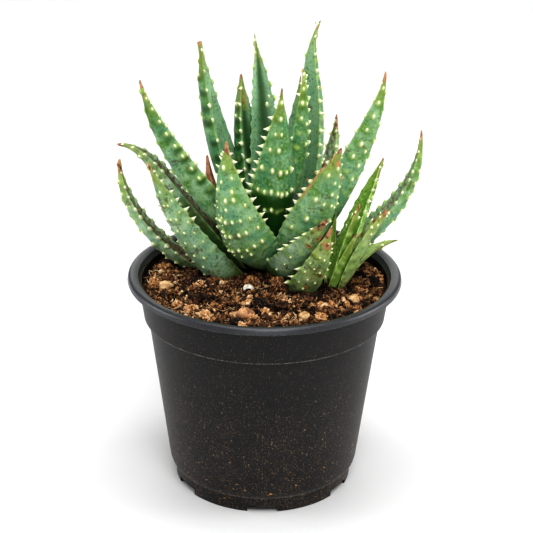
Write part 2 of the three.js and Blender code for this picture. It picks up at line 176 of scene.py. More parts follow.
@dataclass
class Surface:
    """A material's node tree with its Principled shader, and short words for what it's built from."""

    name: str
    material: bpy.types.Material = field(init=False)
    tree: bpy.types.NodeTree = field(init=False)
    shader: bpy.types.Node = field(init=False)

    def __post_init__(self) -> None:
        """Makes the material with its shader and output."""
        self.material = bpy.data.materials.new(self.name)
        self.material.use_nodes = True
        self.tree = self.material.node_tree
        self.tree.nodes.clear()
        self.shader = add_node(self.tree, "ShaderNodeBsdfPrincipled")
        self.add("ShaderNodeOutputMaterial", links={"Surface": self.shader.outputs[0]})

    def add(
        self, kind: str, settings: Settings | None = None, links: Links | None = None
    ) -> bpy.types.Node:
        """Adds a node to this material's tree, as add_node does."""
        return add_node(self.tree, kind, settings, links)

    def place(self) -> Socket:
        """Returns where a point of the piece is, in metres."""
        return self.add("ShaderNodeTexCoord").outputs["Object"]

    def paint(self, name: str) -> Socket:
        """Returns the value that the mesh carries under a name."""
        return self.add("ShaderNodeAttribute", {"attribute_name": name}).outputs["Fac"]

    def noise(self, where: Socket, scale: float, detail: float = 3) -> Socket:
        """Returns fractal noise from 0 to 1, with scale lumps in a unit of where."""
        settings = {"Scale": scale, "Detail": detail}
        return self.add("ShaderNodeTexNoise", settings, {"Vector": where}).outputs["Fac"]

    def streaks(self, where: Socket, scale: tuple[float, float, float]) -> Socket:
        """Returns drawn-out noise from 0 to 1, with scale lumps on each axis in a unit of where."""
        drawn = self.add("ShaderNodeMapping", {"Scale": scale}, {0: where})
        return self.noise(drawn.outputs[0], 1)

    def sum(self, *terms: tuple[Socket, float], start: float = 0) -> Socket:
        """Adds weighted values to a start, and holds the result between 0 and 1.

        Args:
            *terms: Values with their weights.
            start: What they're added to.

        Returns:
            The sum.
        """
        total: Socket | None = None
        for number, (value, weight) in enumerate(terms):
            links = {0: value} if total is None else {0: value, 2: total}
            settings = {"operation": "MULTIPLY_ADD", 1: weight, "use_clamp": number == len(terms) - 1}
            if total is None:
                settings[2] = start
            total = self.add("ShaderNodeMath", settings, links).outputs[0]
        return total

    def times(self, one: Socket, other: Socket) -> Socket:
        """Returns the product of two values."""
        return self.add("ShaderNodeMath", {"operation": "MULTIPLY"}, {0: one, 1: other}).outputs[0]

    def step(self, value: Socket, low: float, high: float, first: float = 0, last: float = 1) -> Socket:
        """Returns a soft step from first to last as the value goes from low to high."""
        settings = {"interpolation_type": "SMOOTHSTEP", 1: low, 2: high, 3: first, 4: last}
        return self.add("ShaderNodeMapRange", settings, {0: value}).outputs[0]

    def blend(self, share: Socket, one: str | Socket, other: str | Socket) -> Socket:
        """Mixes two colours.

        Args:
            share: How much of the other colour shows.
            one: The first colour, as sRGB hex or as a socket.
            other: The other colour, in either form.

        Returns:
            The mixed colour.
        """
        settings: Settings = {"data_type": "RGBA"}
        links = {0: share}
        for number, colour in ((MIX_A, one), (MIX_B, other)):
            if isinstance(colour, str):
                settings[number] = linear(colour)
            else:
                links[number] = colour
        return self.add("ShaderNodeMix", settings, links).outputs[MIXED]

    def relief(self, height: Socket, depth: float) -> None:
        """Roughens the shading by a height pattern whose full range is depth millimetres."""
        bump = self.add("ShaderNodeBump", {"Strength": 1, "Distance": depth * MM}, {"Height": height})
        self.tree.links.new(bump.outputs[0], self.shader.inputs["Normal"])

    def finish(
        self, colour: Socket, roughness: Socket | float, constants: Settings | None = None
    ) -> bpy.types.Material:
        """Joins colour and roughness to the shader and sets its constant values.

        Args:
            colour: The base colour.
            roughness: The roughness, as a socket or as a number.
            constants: Values by the shader's input.

        Returns:
            The finished material.
        """
        self.tree.links.new(colour, self.shader.inputs["Base Color"])
        if isinstance(roughness, float):
            self.shader.inputs["Roughness"].default_value = roughness
        else:
            self.tree.links.new(roughness, self.shader.inputs["Roughness"])
        for name, value in (constants or {}).items():
            self.shader.inputs[name].default_value = value
        return self.material


class Shape:
    """The points, faces and painted values of one piece, in millimetres."""

    def __init__(self, *paints: str) -> None:
        """Starts an empty shape.

        Args:
            *paints: Names of the values that its points carry.
        """
        self.points: list[Vector] = []
        self.faces: list[tuple[int, ...]] = []
        self.paints: dict[str, list[float]] = {name: [] for name in paints}

    def point(self, at: Vector, paint: Paint | None = None) -> int:
        """Adds a point.

        Args:
            at: Where it is.
            paint: The values that it carries. Those left out are zero.

        Returns:
            The point's number.
        """
        self.points.append(at)
        for name, values in self.paints.items():
            values.append((paint or {}).get(name, 0.0))
        return len(self.points) - 1

    def ring(self, places: Iterable[Vector], paint: Paint | None = None) -> Ring:
        """Adds points that carry the same values and returns their numbers."""
        return [self.point(at, paint) for at in places]

    def join(self, first: Ring, second: Ring) -> None:
        """Bridges two rings with a closed band of faces.

        Args:
            first: One ring.
            second: The other ring, with the same count.
        """
        for i, a in enumerate(first):
            after = (i + 1) % len(first)
            self.faces.append((a, first[after], second[after], second[i]))

    def fan(self, ring: Ring, tip: int) -> None:
        """Closes a ring with a fan of triangles to a point."""
        for i, a in enumerate(ring):
            self.faces.append((a, ring[(i + 1) % len(ring)], tip))

    def loft(self, rings: Sequence[Ring], first: int, last: int) -> None:
        """Bridges rings in turn and closes both ends with a fan.

        Args:
            rings: The rings, all with the same count.
            first: The point that closes the first ring.
            last: The point that closes the last ring.
        """
        self.fan(rings[0][::-1], first)
        for one, other in zip(rings, rings[1:]):
            self.join(one, other)
        self.fan(rings[-1], last)

    def merge(self, other: "Shape") -> None:
        """Adds another shape's points, faces and values.

        Args:
            other: The shape to add.
        """
        start = len(self.points)
        self.points.extend(other.points)
        self.faces.extend(tuple(start + i for i in face) for face in other.faces)
        for name, values in self.paints.items():
            values.extend(other.paints.get(name, [0.0] * len(other.points)))

    def tree(self) -> BVHTree:
        """Returns a search tree over the faces, in millimetres."""
        return BVHTree.FromPolygons(self.points, self.faces)

    def build(self, name: str, material: bpy.types.Material) -> bpy.types.Object:
        """Makes the Blender object.

        Args:
            name: The piece's name.
            material: Its finish.

        Returns:
            The object, at the origin, with its place in its mesh.
        """
        mesh = bpy.data.meshes.new(name)
        mesh.from_pydata([point * MM for point in self.points], [], self.faces)
        for paint, values in self.paints.items():
            mesh.attributes.new(paint, "FLOAT", "POINT").data.foreach_set("value", values)
        mesh.materials.append(material)
        mesh.shade_smooth()
        piece = bpy.data.objects.new(name, mesh)
        bpy.context.scene.collection.objects.link(piece)
        return piece


def settle(piece: bpy.types.Object, slot: str, *nodes: str) -> None:
    """Fixes a piece to the plant, hides the solids that it stands for and reports it.

    Args:
        piece: The finished object.
        slot: The record's material slot; not used.
        nodes: The solids that it stands for.
    """
    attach(piece, "root")
    if nodes:
        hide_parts(*nodes)
    triangles = sum(len(face.vertices) - 2 for face in piece.data.polygons)
    log.info("%s: %d triangles, stands for %s", piece.name, triangles, ", ".join(nodes) or "no solid")


# ---- finishes

LEAF_PAINTS = ("across_mm", "along_mm", "edge", "shade", "pearl", "dry", "husk", "pale", "bloom_and_upper_light")


@dataclass(frozen=True)
class WaxyLeafSkin:
    """Living aloe skin: green flesh under a grown coat of wax.

    The waxy coat gives broad soft highlights and a grey-green bloom that thins out in clouds and streaks.
    Round and below the raised bumps the skin is a deeper green. Shade is painted there, along the upper
    face's channel and near the base, where the bloom gives way to deep green, and light is painted on the
    upper face as a lighter bloom. Teeth and bumps are hard and the colour of cream.
    """

    name: str
    flesh: str = "#497c2d"
    # deep green: round the bumps, in dark nicks, and where shade is painted
    deep: str = "#1f4a12"
    bloom: str = "#7ba77f"
    teal: str = "#4e8a61"
    margin: str = "#a9c37c"
    skirt: str = "#b9d079"
    pearl: str = "#fffbe4"
    # near the soil: a paler young green on the offset; on the main plant, a darker painted shade
    pale: str = "#4c6a34"
    # painted light: the lighter bloom colour that lights up the upper face
    painted_upper_light: str = "#b4d0b2"
    olive: str = "#8d9a45"
    dirt: str = "#5c4b2c"
    tip: str = "#bb8b64"
    bark: str = "#6f4c33"
    husk: str = "#8a7f72"
    cover: float = 0.6
    stain: float = 0.0  # how dirty it is

    def skin_place(self, surface: Surface) -> Socket:
        """Returns a place on the skin: millimetres across and millimetres along."""
        links = {0: surface.paint("across_mm"), 1: surface.paint("along_mm")}
        return surface.add("ShaderNodeCombineXYZ", {2: 0.45}, links).outputs[0]

    def green(self, surface: Surface, place: Socket) -> Socket:
        """Builds the colour of sound skin between its bumps.

        Args:
            surface: The material.
            place: Where the skin is.

        Returns:
            The colour.
        """
        clouds = surface.noise(place, 1 / (5 * MM), 4)  # the bloom is thick and thin in clouds 5 mm across
        streaks = surface.streaks(self.skin_place(surface), (1 / 0.8, 1 / 7, 1))  # 0.8 mm wide, 7 mm long
        bloom_and_upper_light = surface.sum(
            (clouds, 3),
            (streaks, 0.6),
            # on the upper face this value also paints light, as a thicker bloom
            (surface.paint("bloom_and_upper_light"), 1),
            # painted shade thins the bloom
            (surface.paint("shade"), -0.8),
            start=self.cover - 2.8,
        )
        colour = surface.blend(bloom_and_upper_light, self.flesh, self.bloom)
        patches = surface.step(surface.noise(place, 1 / (11 * MM), 3), 0.44, 0.58, 0, 0.75)
        colour = surface.blend(patches, colour, self.teal)
        painted_upper_light_share = surface.step(surface.paint("bloom_and_upper_light"), 1.1, 1.6, 0, 0.55)  # painted light on the upper face
        colour = surface.blend(painted_upper_light_share, colour, surface.blend(clouds, self.bloom, self.painted_upper_light))
        # painted shade, with the deeper green round the bumps, turns the skin deep green
        colour = surface.blend(surface.step(surface.paint("shade"), 0.05, 0.9, 0, 0.95), colour, self.deep)
        pores = surface.noise(place, 1 / (1.1 * MM), 3)  # dark nicks and pale pores a millimetre across
        colour = surface.blend(surface.step(pores, 0.54, 0.7, 0, 0.6), colour, self.deep)
        # pale pores, which painted shade and the base near the soil hide
        pale_pores = surface.sum((pores, 1), (surface.paint("shade"), 0.3), (surface.paint("pale"), 0.2))
        colour = surface.blend(surface.step(pale_pores, 0.48, 0.34, 0, 0.5), colour, self.margin)
        stains = surface.sum(  # dirt and scorch, in specks 1.5 mm across that gather in places
            (surface.noise(place, 1 / (1.5 * MM), 4), 1),
            (surface.noise(place, 1 / (9 * MM), 1), 0.8),
            (surface.paint("pale"), 0.16),
            start=-0.4,
        )
        edge = 0.7 - 0.14 * self.stain
        colour = surface.blend(surface.step(surface.paint("dry"), 0, 0.35, 0, 0.8), colour, self.olive)
        # near the soil: painted shade on the main plant's leaves, a paler base on the offset's
        colour = surface.blend(surface.paint("pale"), colour, self.pale)
        colour = surface.blend(surface.step(stains, edge, edge + 0.09, 0, 0.65), colour, self.dirt)
        return surface.blend(surface.step(surface.paint("edge"), 0.96, 1, 0, 0.4), colour, self.margin)

    def broken(self, surface: Surface, name: str, mottle: Socket) -> Socket:
        """Returns a painted value whose edges the mottle breaks up."""
        return surface.sum((surface.paint(name), 1), (mottle, 1.5), start=-0.75)

    @cached_property
    def material(self) -> bpy.types.Material:
        """Builds the finished material, once.

        Returns:
            The material.
        """
        surface = Surface(self.name)
        place = surface.place()
        pearl = surface.paint("pearl")
        colour = surface.blend(surface.step(pearl, 0, 0.35, 0, 0.9), self.green(surface, place), self.skirt)
        colour = surface.blend(surface.step(pearl, 0.4, 0.9), colour, self.pearl)
        mottle = surface.noise(place, 1 / (1.6 * MM), 4)  # dried patches break up in specks 1.6 mm across
        dried = surface.step(surface.noise(place, 1 / (2 * MM), 4), 0.44, 0.64)
        husked = surface.step(self.broken(surface, "husk", mottle), 0.3, 0.7)
        colour = surface.blend(husked, colour, surface.blend(dried, self.husk, self.bark))
        dryness = surface.step(self.broken(surface, "dry", mottle), 0.35, 0.65)
        colour = surface.blend(dryness, colour, surface.blend(dried, self.tip, self.bark))
        grit = surface.noise(place, 1 / (0.4 * MM), 2)  # the skin's cells, drawn coarser at 0.4 mm
        surface.relief(surface.sum((grit, 0.4), (mottle, 0.6)), 0.3)
        roughness = surface.sum((dryness, 0.35), (mottle, 0.15), start=0.36)
        # A waxy cuticle has the IOR of a soft wax. Its coat is thin and not quite clear.
        constants = {"IOR": 1.45, "Coat Weight": 0.1, "Coat Roughness": 0.3}
        return surface.finish(colour, roughness, constants)


@dataclass(frozen=True)
class PaperyLeafSkin:
    """Skin of a leaf that died and dried: creased roughly along its length, dull and red-brown."""

    name: str = "dried_papery_leaf"
    light: str = "#e2a98a"
    dark: str = "#93553c"

    @cached_property
    def material(self) -> bpy.types.Material:
        """Builds the finished material, once.

        Returns:
            The material.
        """
        surface = Surface(self.name)
        place = surface.place()
        patches = surface.noise(place, 1 / (3 * MM), 4)
        lines = surface.streaks(place, (1 / (0.6 * MM), 1 / (0.6 * MM), 1 / (5 * MM)))
        tone = surface.step(surface.sum((patches, 0.6), (lines, 0.4)), 0.35, 0.65)
        surface.relief(lines, 0.3)
        return surface.finish(surface.blend(tone, self.dark, self.light), 0.75, {"IOR": 1.5})


@dataclass(frozen=True)
class FibrousStem:
    """An aloe's short stem: dull green-brown fibre that runs up it."""

    name: str = "fibrous_aloe_stem"
    light: str = "#7f7c4c"
    dark: str = "#3f3a20"

    @cached_property
    def material(self) -> bpy.types.Material:
        """Builds the finished material, once.

        Returns:
            The material.
        """
        surface = Surface(self.name)
        place = surface.place()
        # The fibres are half a millimetre wide and 4 mm long.
        lines = surface.streaks(place, (1 / (0.5 * MM), 1 / (0.5 * MM), 1 / (4 * MM)))
        surface.relief(lines, 0.3)
        return surface.finish(surface.blend(lines, self.dark, self.light), 0.8, {"IOR": 1.5})


@dataclass(frozen=True)
class PeatAndBark:
    """Damp potting mix of peat, bark crumbs and fibre.

    Each grain carries its own tone, from nearly black peat to the orange-tan of torn bark, and light
    catches its broken surface in specks. The body of the mix and the lumps on it also carry painted shade
    in their hollows and painted light where they stand out.
    """

    name: str = "peat_and_bark"
    black: str = "#0a0603"
    brown: str = "#5a3c26"
    tan: str = "#c4915f"
    straw: str = "#f7e2bd"

    @cached_property
    def material(self) -> bpy.types.Material:
        """Builds the finished material, once.

        Returns:
            The material.
        """
        surface = Surface(self.name)
        place = surface.place()
        crumbs = surface.noise(place, 1 / (1.1 * MM), 5)
        patches = surface.noise(place, 1 / (5 * MM), 3)
        # The range is wide, so that single specks stand out light on dark as torn fibre does.
        fine = surface.noise(place, 1 / (0.45 * MM), 3)
        # the tone holds each grain's own colour, and painted shade and light on the body and lumps
        speckle = ((surface.paint("tone"), 1), (crumbs, 1.5), (fine, 0.9), (patches, 0.4))
        tone = surface.sum(*speckle, start=-1.4)
        colour = surface.blend(surface.step(tone, 0.05, 0.35), self.black, self.brown)
        colour = surface.blend(surface.step(tone, 0.35, 0.7), colour, self.tan)
        colour = surface.blend(surface.step(tone, 0.8, 1.05), colour, self.straw)
        surface.relief(surface.noise(place, 1 / (0.5 * MM), 4), 0.5)
        return surface.finish(colour, 0.85, {"IOR": 1.4})


@dataclass(frozen=True)
class WornStone:
    """A river-worn pebble: dull, lightly pitted and darker in its hollows."""

    name: str
    light: str
    dark: str

    @cached_property
    def material(self) -> bpy.types.Material:
        """Builds the finished material, once.

        Returns:
            The material.
        """
        surface = Surface(self.name)
        place = surface.place()
        patches = surface.noise(place, 1 / (2.2 * MM), 4)
        pits = surface.noise(place, 1 / (0.5 * MM), 3)
        tone = surface.step(surface.sum((patches, 0.7), (pits, 0.3)), 0.38, 0.6)
        surface.relief(surface.sum((patches, 0.6), (pits, 0.4)), 0.4)
        return surface.finish(surface.blend(tone, self.dark, self.light), 0.7, {"IOR": 1.5})


@dataclass(frozen=True)
class MouldedPolypropylene:
    """Thin black polypropylene, injection moulded and carbon filled.

    It has a fine matt grain from the mould, faint upright draw marks, and a dusting of dried mix that
    splashed on it when it was watered: more of it low down, with a few bright crumbs, and a thin line of it
    on the foot's ledge. Painted highlights run in thin light lines under the collar and the lip, and the rim
    carries a painted reflection in a lighter blue-grey.
    """

    name: str = "black_moulded_polypropylene"
    body: str = "#151618"
    dust: str = "#5c5247"
    fleck: str = "#d0a878"
    crumb: str = "#f0b060"
    # painted reflection: the rim's lighter blue-grey
    painted_rim_reflection: str = "#2a2d33"
    # dust on the foot's ledge and painted highlights under the collar and the lip
    dust_and_highlight: str = "#7c7870"
    dust_top: float = 90  # the height above which the dusting is faintest
    rim_foot: float = 97.2
    # 80.7 and 97.15: painted highlights under the collar and the lip; 7.9: dust on the foot's ledge
    dust_and_highlight_lines: tuple[tuple[float, float], ...] = ((80.7, 0.25), (7.9, 0.35), (97.15, 0.2))  # height and reach

    @cached_property
    def material(self) -> bpy.types.Material:
        """Builds the finished material, once.

        Returns:
            The material.
        """
        surface = Surface(self.name)
        place = surface.place()
        height = surface.add("ShaderNodeSeparateXYZ", links={0: place}).outputs[2]
        low = surface.step(height, 0, self.dust_top * MM, 1, 0.12)
        clouds = surface.step(surface.noise(place, 1 / (14 * MM), 4), 0.38, 0.68)
        fine = surface.noise(place, 1 / (0.9 * MM), 4)
        film = surface.times(surface.times(low, clouds), surface.step(fine, 0.54, 0.66, 0.05, 1))
        rim = surface.step(height, self.rim_foot * MM, (self.rim_foot + 0.5) * MM)
        # painted reflection: the rim above its foot is a lighter blue-grey
        plastic = surface.blend(rim, self.body, self.painted_rim_reflection)
        colour = surface.blend(surface.sum((film, 0.8)), plastic, self.dust)
        splashes = ((0.9, 0.62, self.fleck), (1.7, 0.78, self.fleck), (2.6, 0.93, self.crumb))
        for size, rarity, tone in splashes:
            colour = surface.blend(self.flecks(surface, place, low, size, rarity), colour, tone)
        # thin light lines: dust on the foot's ledge, painted highlights under the collar and the lip
        for level, reach in self.dust_and_highlight_lines:
            band = {"operation": "COMPARE", 1: level * MM, 2: reach * MM}
            ledge = surface.add("ShaderNodeMath", band, {0: height}).outputs[0]
            line_share = surface.times(ledge, surface.step(fine, 0.4, 0.6, 0.1, 0.6))
            colour = surface.blend(line_share, colour, self.dust_and_highlight)
        # The draw marks are half a millimetre wide and 25 mm long.
        lines = surface.streaks(place, (1 / (0.5 * MM), 1 / (0.5 * MM), 1 / (25 * MM)))
        surface.relief(surface.sum((lines, 0.4), (surface.noise(place, 1 / (0.4 * MM), 2), 0.6)), 0.06)
        roughness = surface.sum((lines, 0.12), (film, 0.35), start=0.38)
        # The mould's grain hides part of the plain reflection, so the wall stays nearly black.
        # Hands have polished the rim, which shines softly as if it had a coat.
        surface.tree.links.new(surface.sum((rim, 0.7)), surface.shader.inputs["Coat Weight"])
        constants = {"IOR": 1.49, "Specular IOR Level": 0.36, "Coat Roughness": 0.35, "Coat IOR": 1.5}
        return surface.finish(colour, roughness, constants)

    def flecks(self, surface: Surface, place: Socket, low: Socket, size: float, rarity: float) -> Socket:
        """Scatters bits of dried mix over the wall.

        Args:
            surface: The material.
            place: Where the wall is.
            low: How dusty it is there.
            size: How far apart the bits could be, in millimetres.
            rarity: The share of those places that stay bare.

        Returns:
            One on a bit and zero between them.
        """
        bend = surface.noise(place, 1 / (size * 2 * MM), 2)
        pushed = surface.add("ShaderNodeVectorMath", {"operation": "SCALE"}, {0: place, "Scale": bend})
        cells = surface.add("ShaderNodeTexVoronoi", {"Scale": 1.6 / (size * MM)}, {0: pushed.outputs[0]})
        chance = surface.add("ShaderNodeSeparateColor", links={0: cells.outputs["Color"]}).outputs[0]
        kept = surface.step(surface.sum((chance, 1), (low, 0.25), start=-0.25), rarity, rarity + 0.03)
        near = surface.step(cells.outputs["Distance"], 0.1, 0.3, 1, 0)
        return surface.times(kept, near)


@dataclass(frozen=True)
class StudioPaper:
    """Seamless pale grey background paper, which is matt and very slightly uneven."""

    name: str = "white_studio_paper"
    light: str = "#e6e6e6"
    dark: str = "#e2e2e2"

    @cached_property
    def material(self) -> bpy.types.Material:
        """Builds the finished material, once.

        Returns:
            The material.
        """
        surface = Surface(self.name)
        place = surface.place()
        tone = surface.noise(place, 1 / (400 * MM))
        return surface.finish(surface.blend(tone, self.dark, self.light), 0.9)


FRESH_SKIN = WaxyLeafSkin("waxy_leaf_inner")
GROWN_SKIN = WaxyLeafSkin(
    "waxy_leaf_middle", flesh="#5a8a3c", deep="#28561b", bloom="#97bb94", teal="#659b7a", cover=0.65,
    stain=0.25,
)
OLD_SKIN = WaxyLeafSkin(
    "waxy_leaf_outer", flesh="#769a58", deep="#416532", bloom="#b3cfb2", teal="#82ab8e", pale="#5c7040",
    painted_upper_light="#8fa07a", husk="#7d6c58", bark="#4b3524", cover=0.75, stain=0.75,
)
SCUFFED_SKIN = WaxyLeafSkin(
    "waxy_leaf_scuffed", flesh="#8ea757", deep="#55703a", bloom="#b9cb9b", teal="#88ab7a", pale="#626f3e",
    cover=0.6, stain=1,
)
OFFSET_SKIN = WaxyLeafSkin(
    "waxy_leaf_offset", flesh="#52871f", deep="#2f5c0e", bloom="#88b04e", teal="#659632", margin="#cfe69a",
    skirt="#c4dd8c", pale="#b4d27c", painted_upper_light="#93b95e", cover=0.45, stain=0.3,
)
DUSTY_OFFSET_SKIN = WaxyLeafSkin(
    "waxy_leaf_offset_outer", flesh="#86a24c", deep="#557a35", bloom="#b4c894", teal="#90b070",
    pale="#b6cc7c", painted_upper_light="#b9d08c", cover=0.6, stain=0.8,
)
DRIED_SKIN = PaperyLeafSkin()


# ---- leaves

GAP = 0.3  # left between pieces that would touch
SOIL_LEVEL = 94.3


class Side(Enum):
    """The two margins of a leaf, by the sign of the station across it."""

    LEFT = -1
    RIGHT = 1


@dataclass(frozen=True)
class Stem:
    """A short tapered stem, as its solid has it."""

    x: float
    y: float
    radius: float
    top: float
    low: float
    high: float

    def start(self, seat: float, height: float, reach: float | None) -> Vector:
        """Finds where a leaf leaves the stem.

        Args:
            seat: The leaf's heading from the stem's axis.
            height: The height there.
            reach: The distance from the axis, or None for the stem's own surface.

        Returns:
            The first point of the leaf's line.
        """
        share = (height - self.low) / (self.high - self.low)
        out = mix(self.radius, self.top, share) + GAP if reach is None else reach
        turn = math.radians(seat)
        return Vector((self.x + out * math.cos(turn), self.y + out * math.sin(turn), height))


@dataclass(frozen=True)
class Rust:
    """A stretch of margin that has dried: its side, its ends as shares of the length, and its width."""

    side: Side
    start: float
    end: float
    width: float = 0.25


@dataclass(frozen=True)
class Band:
    """Bumps in a row across a leaf: millimetres from its base, first and last station, and count."""

    at: float
    first: float
    last: float
    count: int = 1
    size: float = 1


@dataclass(frozen=True)
class Line:
    """Bumps in a row along a leaf: station across, first and last millimetre, and pitch."""

    u: float
    start: float
    end: float
    pitch: float = 8
    size: float = 1


@dataclass(frozen=True)
class Place:
    """A place on a leaf's line, with the leaf's own directions there."""

    s: float
    at: Vector
    along: Vector
    across: Vector
    upper: Vector


@dataclass
class Leaf:
    """One leaf: its line and outline as the solid has them, and what its skin shows.

    The leaf starts at its stem at a height, on a heading, at an angle of rise. Over its length it turns
    up by curl, sideways by sway and near its tip up by hook. late holds the curl back, roll and twist
    turn it about its own line, belly is where it's widest and taper how soon it narrows.
    """

    node: str
    heading: float
    height: float
    length: float
    width: float
    rise: float
    curl: float
    skin: WaxyLeafSkin | PaperyLeafSkin = GROWN_SKIN
    seat: float | None = None
    reach: float | None = None
    sway: float = 0
    hook: float = 0
    late: float = 1
    roll: float = 0
    twist: float = 0
    belly: float = 0.28
    taper: float = 0.95
    tip_dry: float = 2.2  # millimetres of the tip that have dried
    blunt: float = 0  # half width of a torn tip
    husk: float = 0  # how dried and grey the upper face is
    painted_shade_below: float = 0  # millimetres from the base below which shade is painted, in deep green
    groove: float = 0.08  # how dark the middle of the upper face is, with shade painted along its channel
    tooth_pitch: float = 5.5
    scallops: float = 0.75  # how far the margin runs out to a tooth
    patches: float = 0.35  # how dark the skin is below each bump: a deeper green, with shade painted in
    rust: tuple[Rust, ...] = ()
    scars: tuple[tuple[float, float, float], ...] = ()  # share along, station across, radius
    bumps: tuple[Band | Line, ...] = ()  # rows in set places; the rest of the face is filled by chance
    warts: tuple[tuple[float, float, float], ...] = ()  # upper face: millimetres along, station, size
    bare: bool = False  # without teeth and bumps
    stem: Stem = field(init=False)
    line: list[Place] = field(init=False)
    teeth: dict[Side, list[float]] = field(init=False)
    pearls: list[tuple[float, float, float]] = field(init=False)
    draw: random.Random = field(init=False)

    NECK = 0.5  # the share of its width at the base
    SWELL = 0.12  # how full its sides are beyond the belly
    MARGIN_LIFT = 0.22  # how far the margins rise over the middle, as a share of half its width
    HOOK_START = 0.7  # the share of its length where the hook begins
    STEP = 0.25  # millimetres between places on the line
    ROW = 3  # places between two rows of the mesh
    END = 0.25  # millimetres that the skin ends short of its line
    LOWER_SEGMENTS = 30
    UPPER_SEGMENTS = 14
    RIM = 0.28  # half thickness of the margin
    FIRST_SPINE_Z = SOIL_LEVEL + 2.5
    SCALLOP_REACH = 1.25
    SCALLOP_POWER = 14  # the higher, the nearer to the margin its scallops stay
    WAVE, WAVE_SIZE = 0.3, 9  # height and width of the skin's unevenness
    RIPPLE, RIPPLE_SIZE = 0.08, 3.2
    CHANNEL = 0.1  # depth of the upper face's channel, as a share of half its width
    # Thickness as a share of half its width, the gain of that towards the tip, and what is added.
    KEEL, KEEL_GAIN, THINNEST = 0.5, 0.45, 0.5
    BAND_PITCH = 7.6
    PEARL_PITCH = 3.3
    SPINE_SIZES = (0.85, 1.15)
    TOOTH_START, TOOTH_END = 2, 3  # millimetres without teeth at the base and the tip
    TOOTH_SPACING = (0.75, 1.25)
    BAND_START, BAND_END = (4, 8), 4  # millimetres without chance bumps at the base and the tip
    BAND_SPACING = (0.75, 1.2)
    BAND_EDGE = 0.8  # the outermost station of a chance bump
    BUMP_EDGE = 0.94  # the outermost of any
    ROW_GAP = 0.35  # stations left between the rows in set places and chance bumps
    STRAY_ALONG, STRAY_ACROSS = 0.6, 0.04  # how far a bump can stand out of its row
    PATCH = (1.7, 1.3)  # half length and half width of the patch below a bump: deeper green and painted shade
    TOOTH_PATCH = (2, 1.5)
    PATCH_SHIFT = 1.5  # how far the patch lies towards the leaf's base
    BUMP_SWELL = 0.3  # how far the skin rises under a bump
    TOOTH = (3.2, 1.3, 0.75)  # a tooth's length, half its breadth and half its thickness
    TOOTH_LEAN = (5, 35)  # its least and greatest lean towards the leaf's tip
    TOOTH_SIDES = 6
    BROWN_TEETH = 0.1  # the share of teeth with a dried point
    PEARL = (0.66, 1.2)  # half a bump's width and its height
    PEARL_STRETCH = 1.65  # how much longer than wide a bump is
    PEARL_SIDES = 8
    # Rings round a tooth or bump: share of its height, share of its width and how cream it is.
    TOOTH_RINGS = ((-0.1, 1.25, 0.15), (0.15, 0.92, 0.5), (0.38, 0.58, 0.9), (0.7, 0.3, 1))
    PEARL_RINGS = ((-0.3, 1.6, 0.12), (0.05, 1.3, 0.3), (0.36, 0.86, 0.62), (0.74, 0.44, 1))

    def plant(self, stem: Stem, draw: random.Random) -> None:
        """Sets the leaf on its stem and draws the places of its teeth and bumps.

        Args:
            stem: The stem that it grows from.
            draw: The leaf's own source of random numbers.
        """
        self.stem = stem
        self.draw = draw
        self.line = list(self.walk())
        self.teeth = {side: [] if self.bare else self.tooth_stations() for side in Side}
        self.pearls = [] if self.bare else sorted(self.pearl_stations())

    def walk(self) -> Iterator[Place]:
        """Follows the leaf from its base to its tip.

        Yields:
            The places on its line.
        """
        at = self.stem.start(self.heading if self.seat is None else self.seat, self.height, self.reach)
        steps = round(self.length / self.STEP)
        for i in range(steps + 1):
            s = i / steps
            hooked = max(0.0, (s - self.HOOK_START) / (1 - self.HOOK_START)) ** 2
            rise = math.radians(self.rise + self.curl * s**self.late + self.hook * hooked)
            turn = math.radians(self.heading + self.sway * s)
            along = direction(turn, rise)
            if i:
                at = at + along * (self.length / steps)
            across = Vector((-math.sin(turn), math.cos(turn), 0))
            across.rotate(Quaternion(along, math.radians(self.roll + self.twist * s)))
            yield Place(s, at, along, across, along.cross(across))

    def place(self, s: float) -> Place:
        """Returns the place nearest to a share of the length."""
        last = len(self.line) - 1
        return self.line[min(last, max(0, round(s * last)))]

    def half_width(self, s: float) -> float:
        """Works out half the leaf's width, without its scallops.

        Args:
            s: A share of the leaf's length.

        Returns:
            Half the width.
        """
        if s < self.belly:
            share = self.NECK + (1 - self.NECK) * math.sin(s / self.belly * math.pi / 2)
        else:
            t = (s - self.belly) / (1 - self.belly)
            share = (1 - t) ** self.taper * (1 + self.SWELL * math.sin(math.pi * t))
        slim = 1 - 0.5 * smooth(0.8, 0.97, s)  # a finer point than the solid's
        return max(self.width / 2 * share * slim, self.blunt)

    def scallop(self, s: float, side: Side) -> float:
        """Works out how far the margin swells out to its nearest tooth.

        Args:
            s: A share of the leaf's length.
            side: The margin.

        Returns:
            How far out it lies, or in where it's negative.
        """
        teeth = self.teeth[side]
        if not teeth:
            return 0.0
        i = bisect_left(teeth, s)
        near = min(abs(teeth[j] - s) for j in (i - 1, i) if 0 <= j < len(teeth)) * self.length
        swell = math.exp(-((near / self.SCALLOP_REACH) ** 2))
        return self.scallops * (swell - 0.25) * min(1.0, self.half_width(s) / 3.5)

    def near_bumps(self, s: float, reach: float) -> list[tuple[float, float, float]]:
        """Returns the bumps within reach millimetres along the leaf."""
        first = bisect_left(self.pearls, (s - reach / self.length,))
        return self.pearls[first : bisect_right(self.pearls, (s + reach / self.length,))]

    def swell(self, s: float, u: float) -> float:
        """Works out how far the lower face rises round its bumps.

        Args:
            s: A share of the leaf's length.
            u: The station across it, from -1 to 1.

        Returns:
            How far it rises.
        """
        total = 0.0
        half = self.half_width(s)
        for at, station, size in self.near_bumps(s, 3.5):
            away = ((s - at) * self.length) ** 2 / 1.9 + ((u - station) * half * 1.2) ** 2
            total += size * math.exp(-away / 1.1)
        return self.BUMP_SWELL * min(1.3, total)

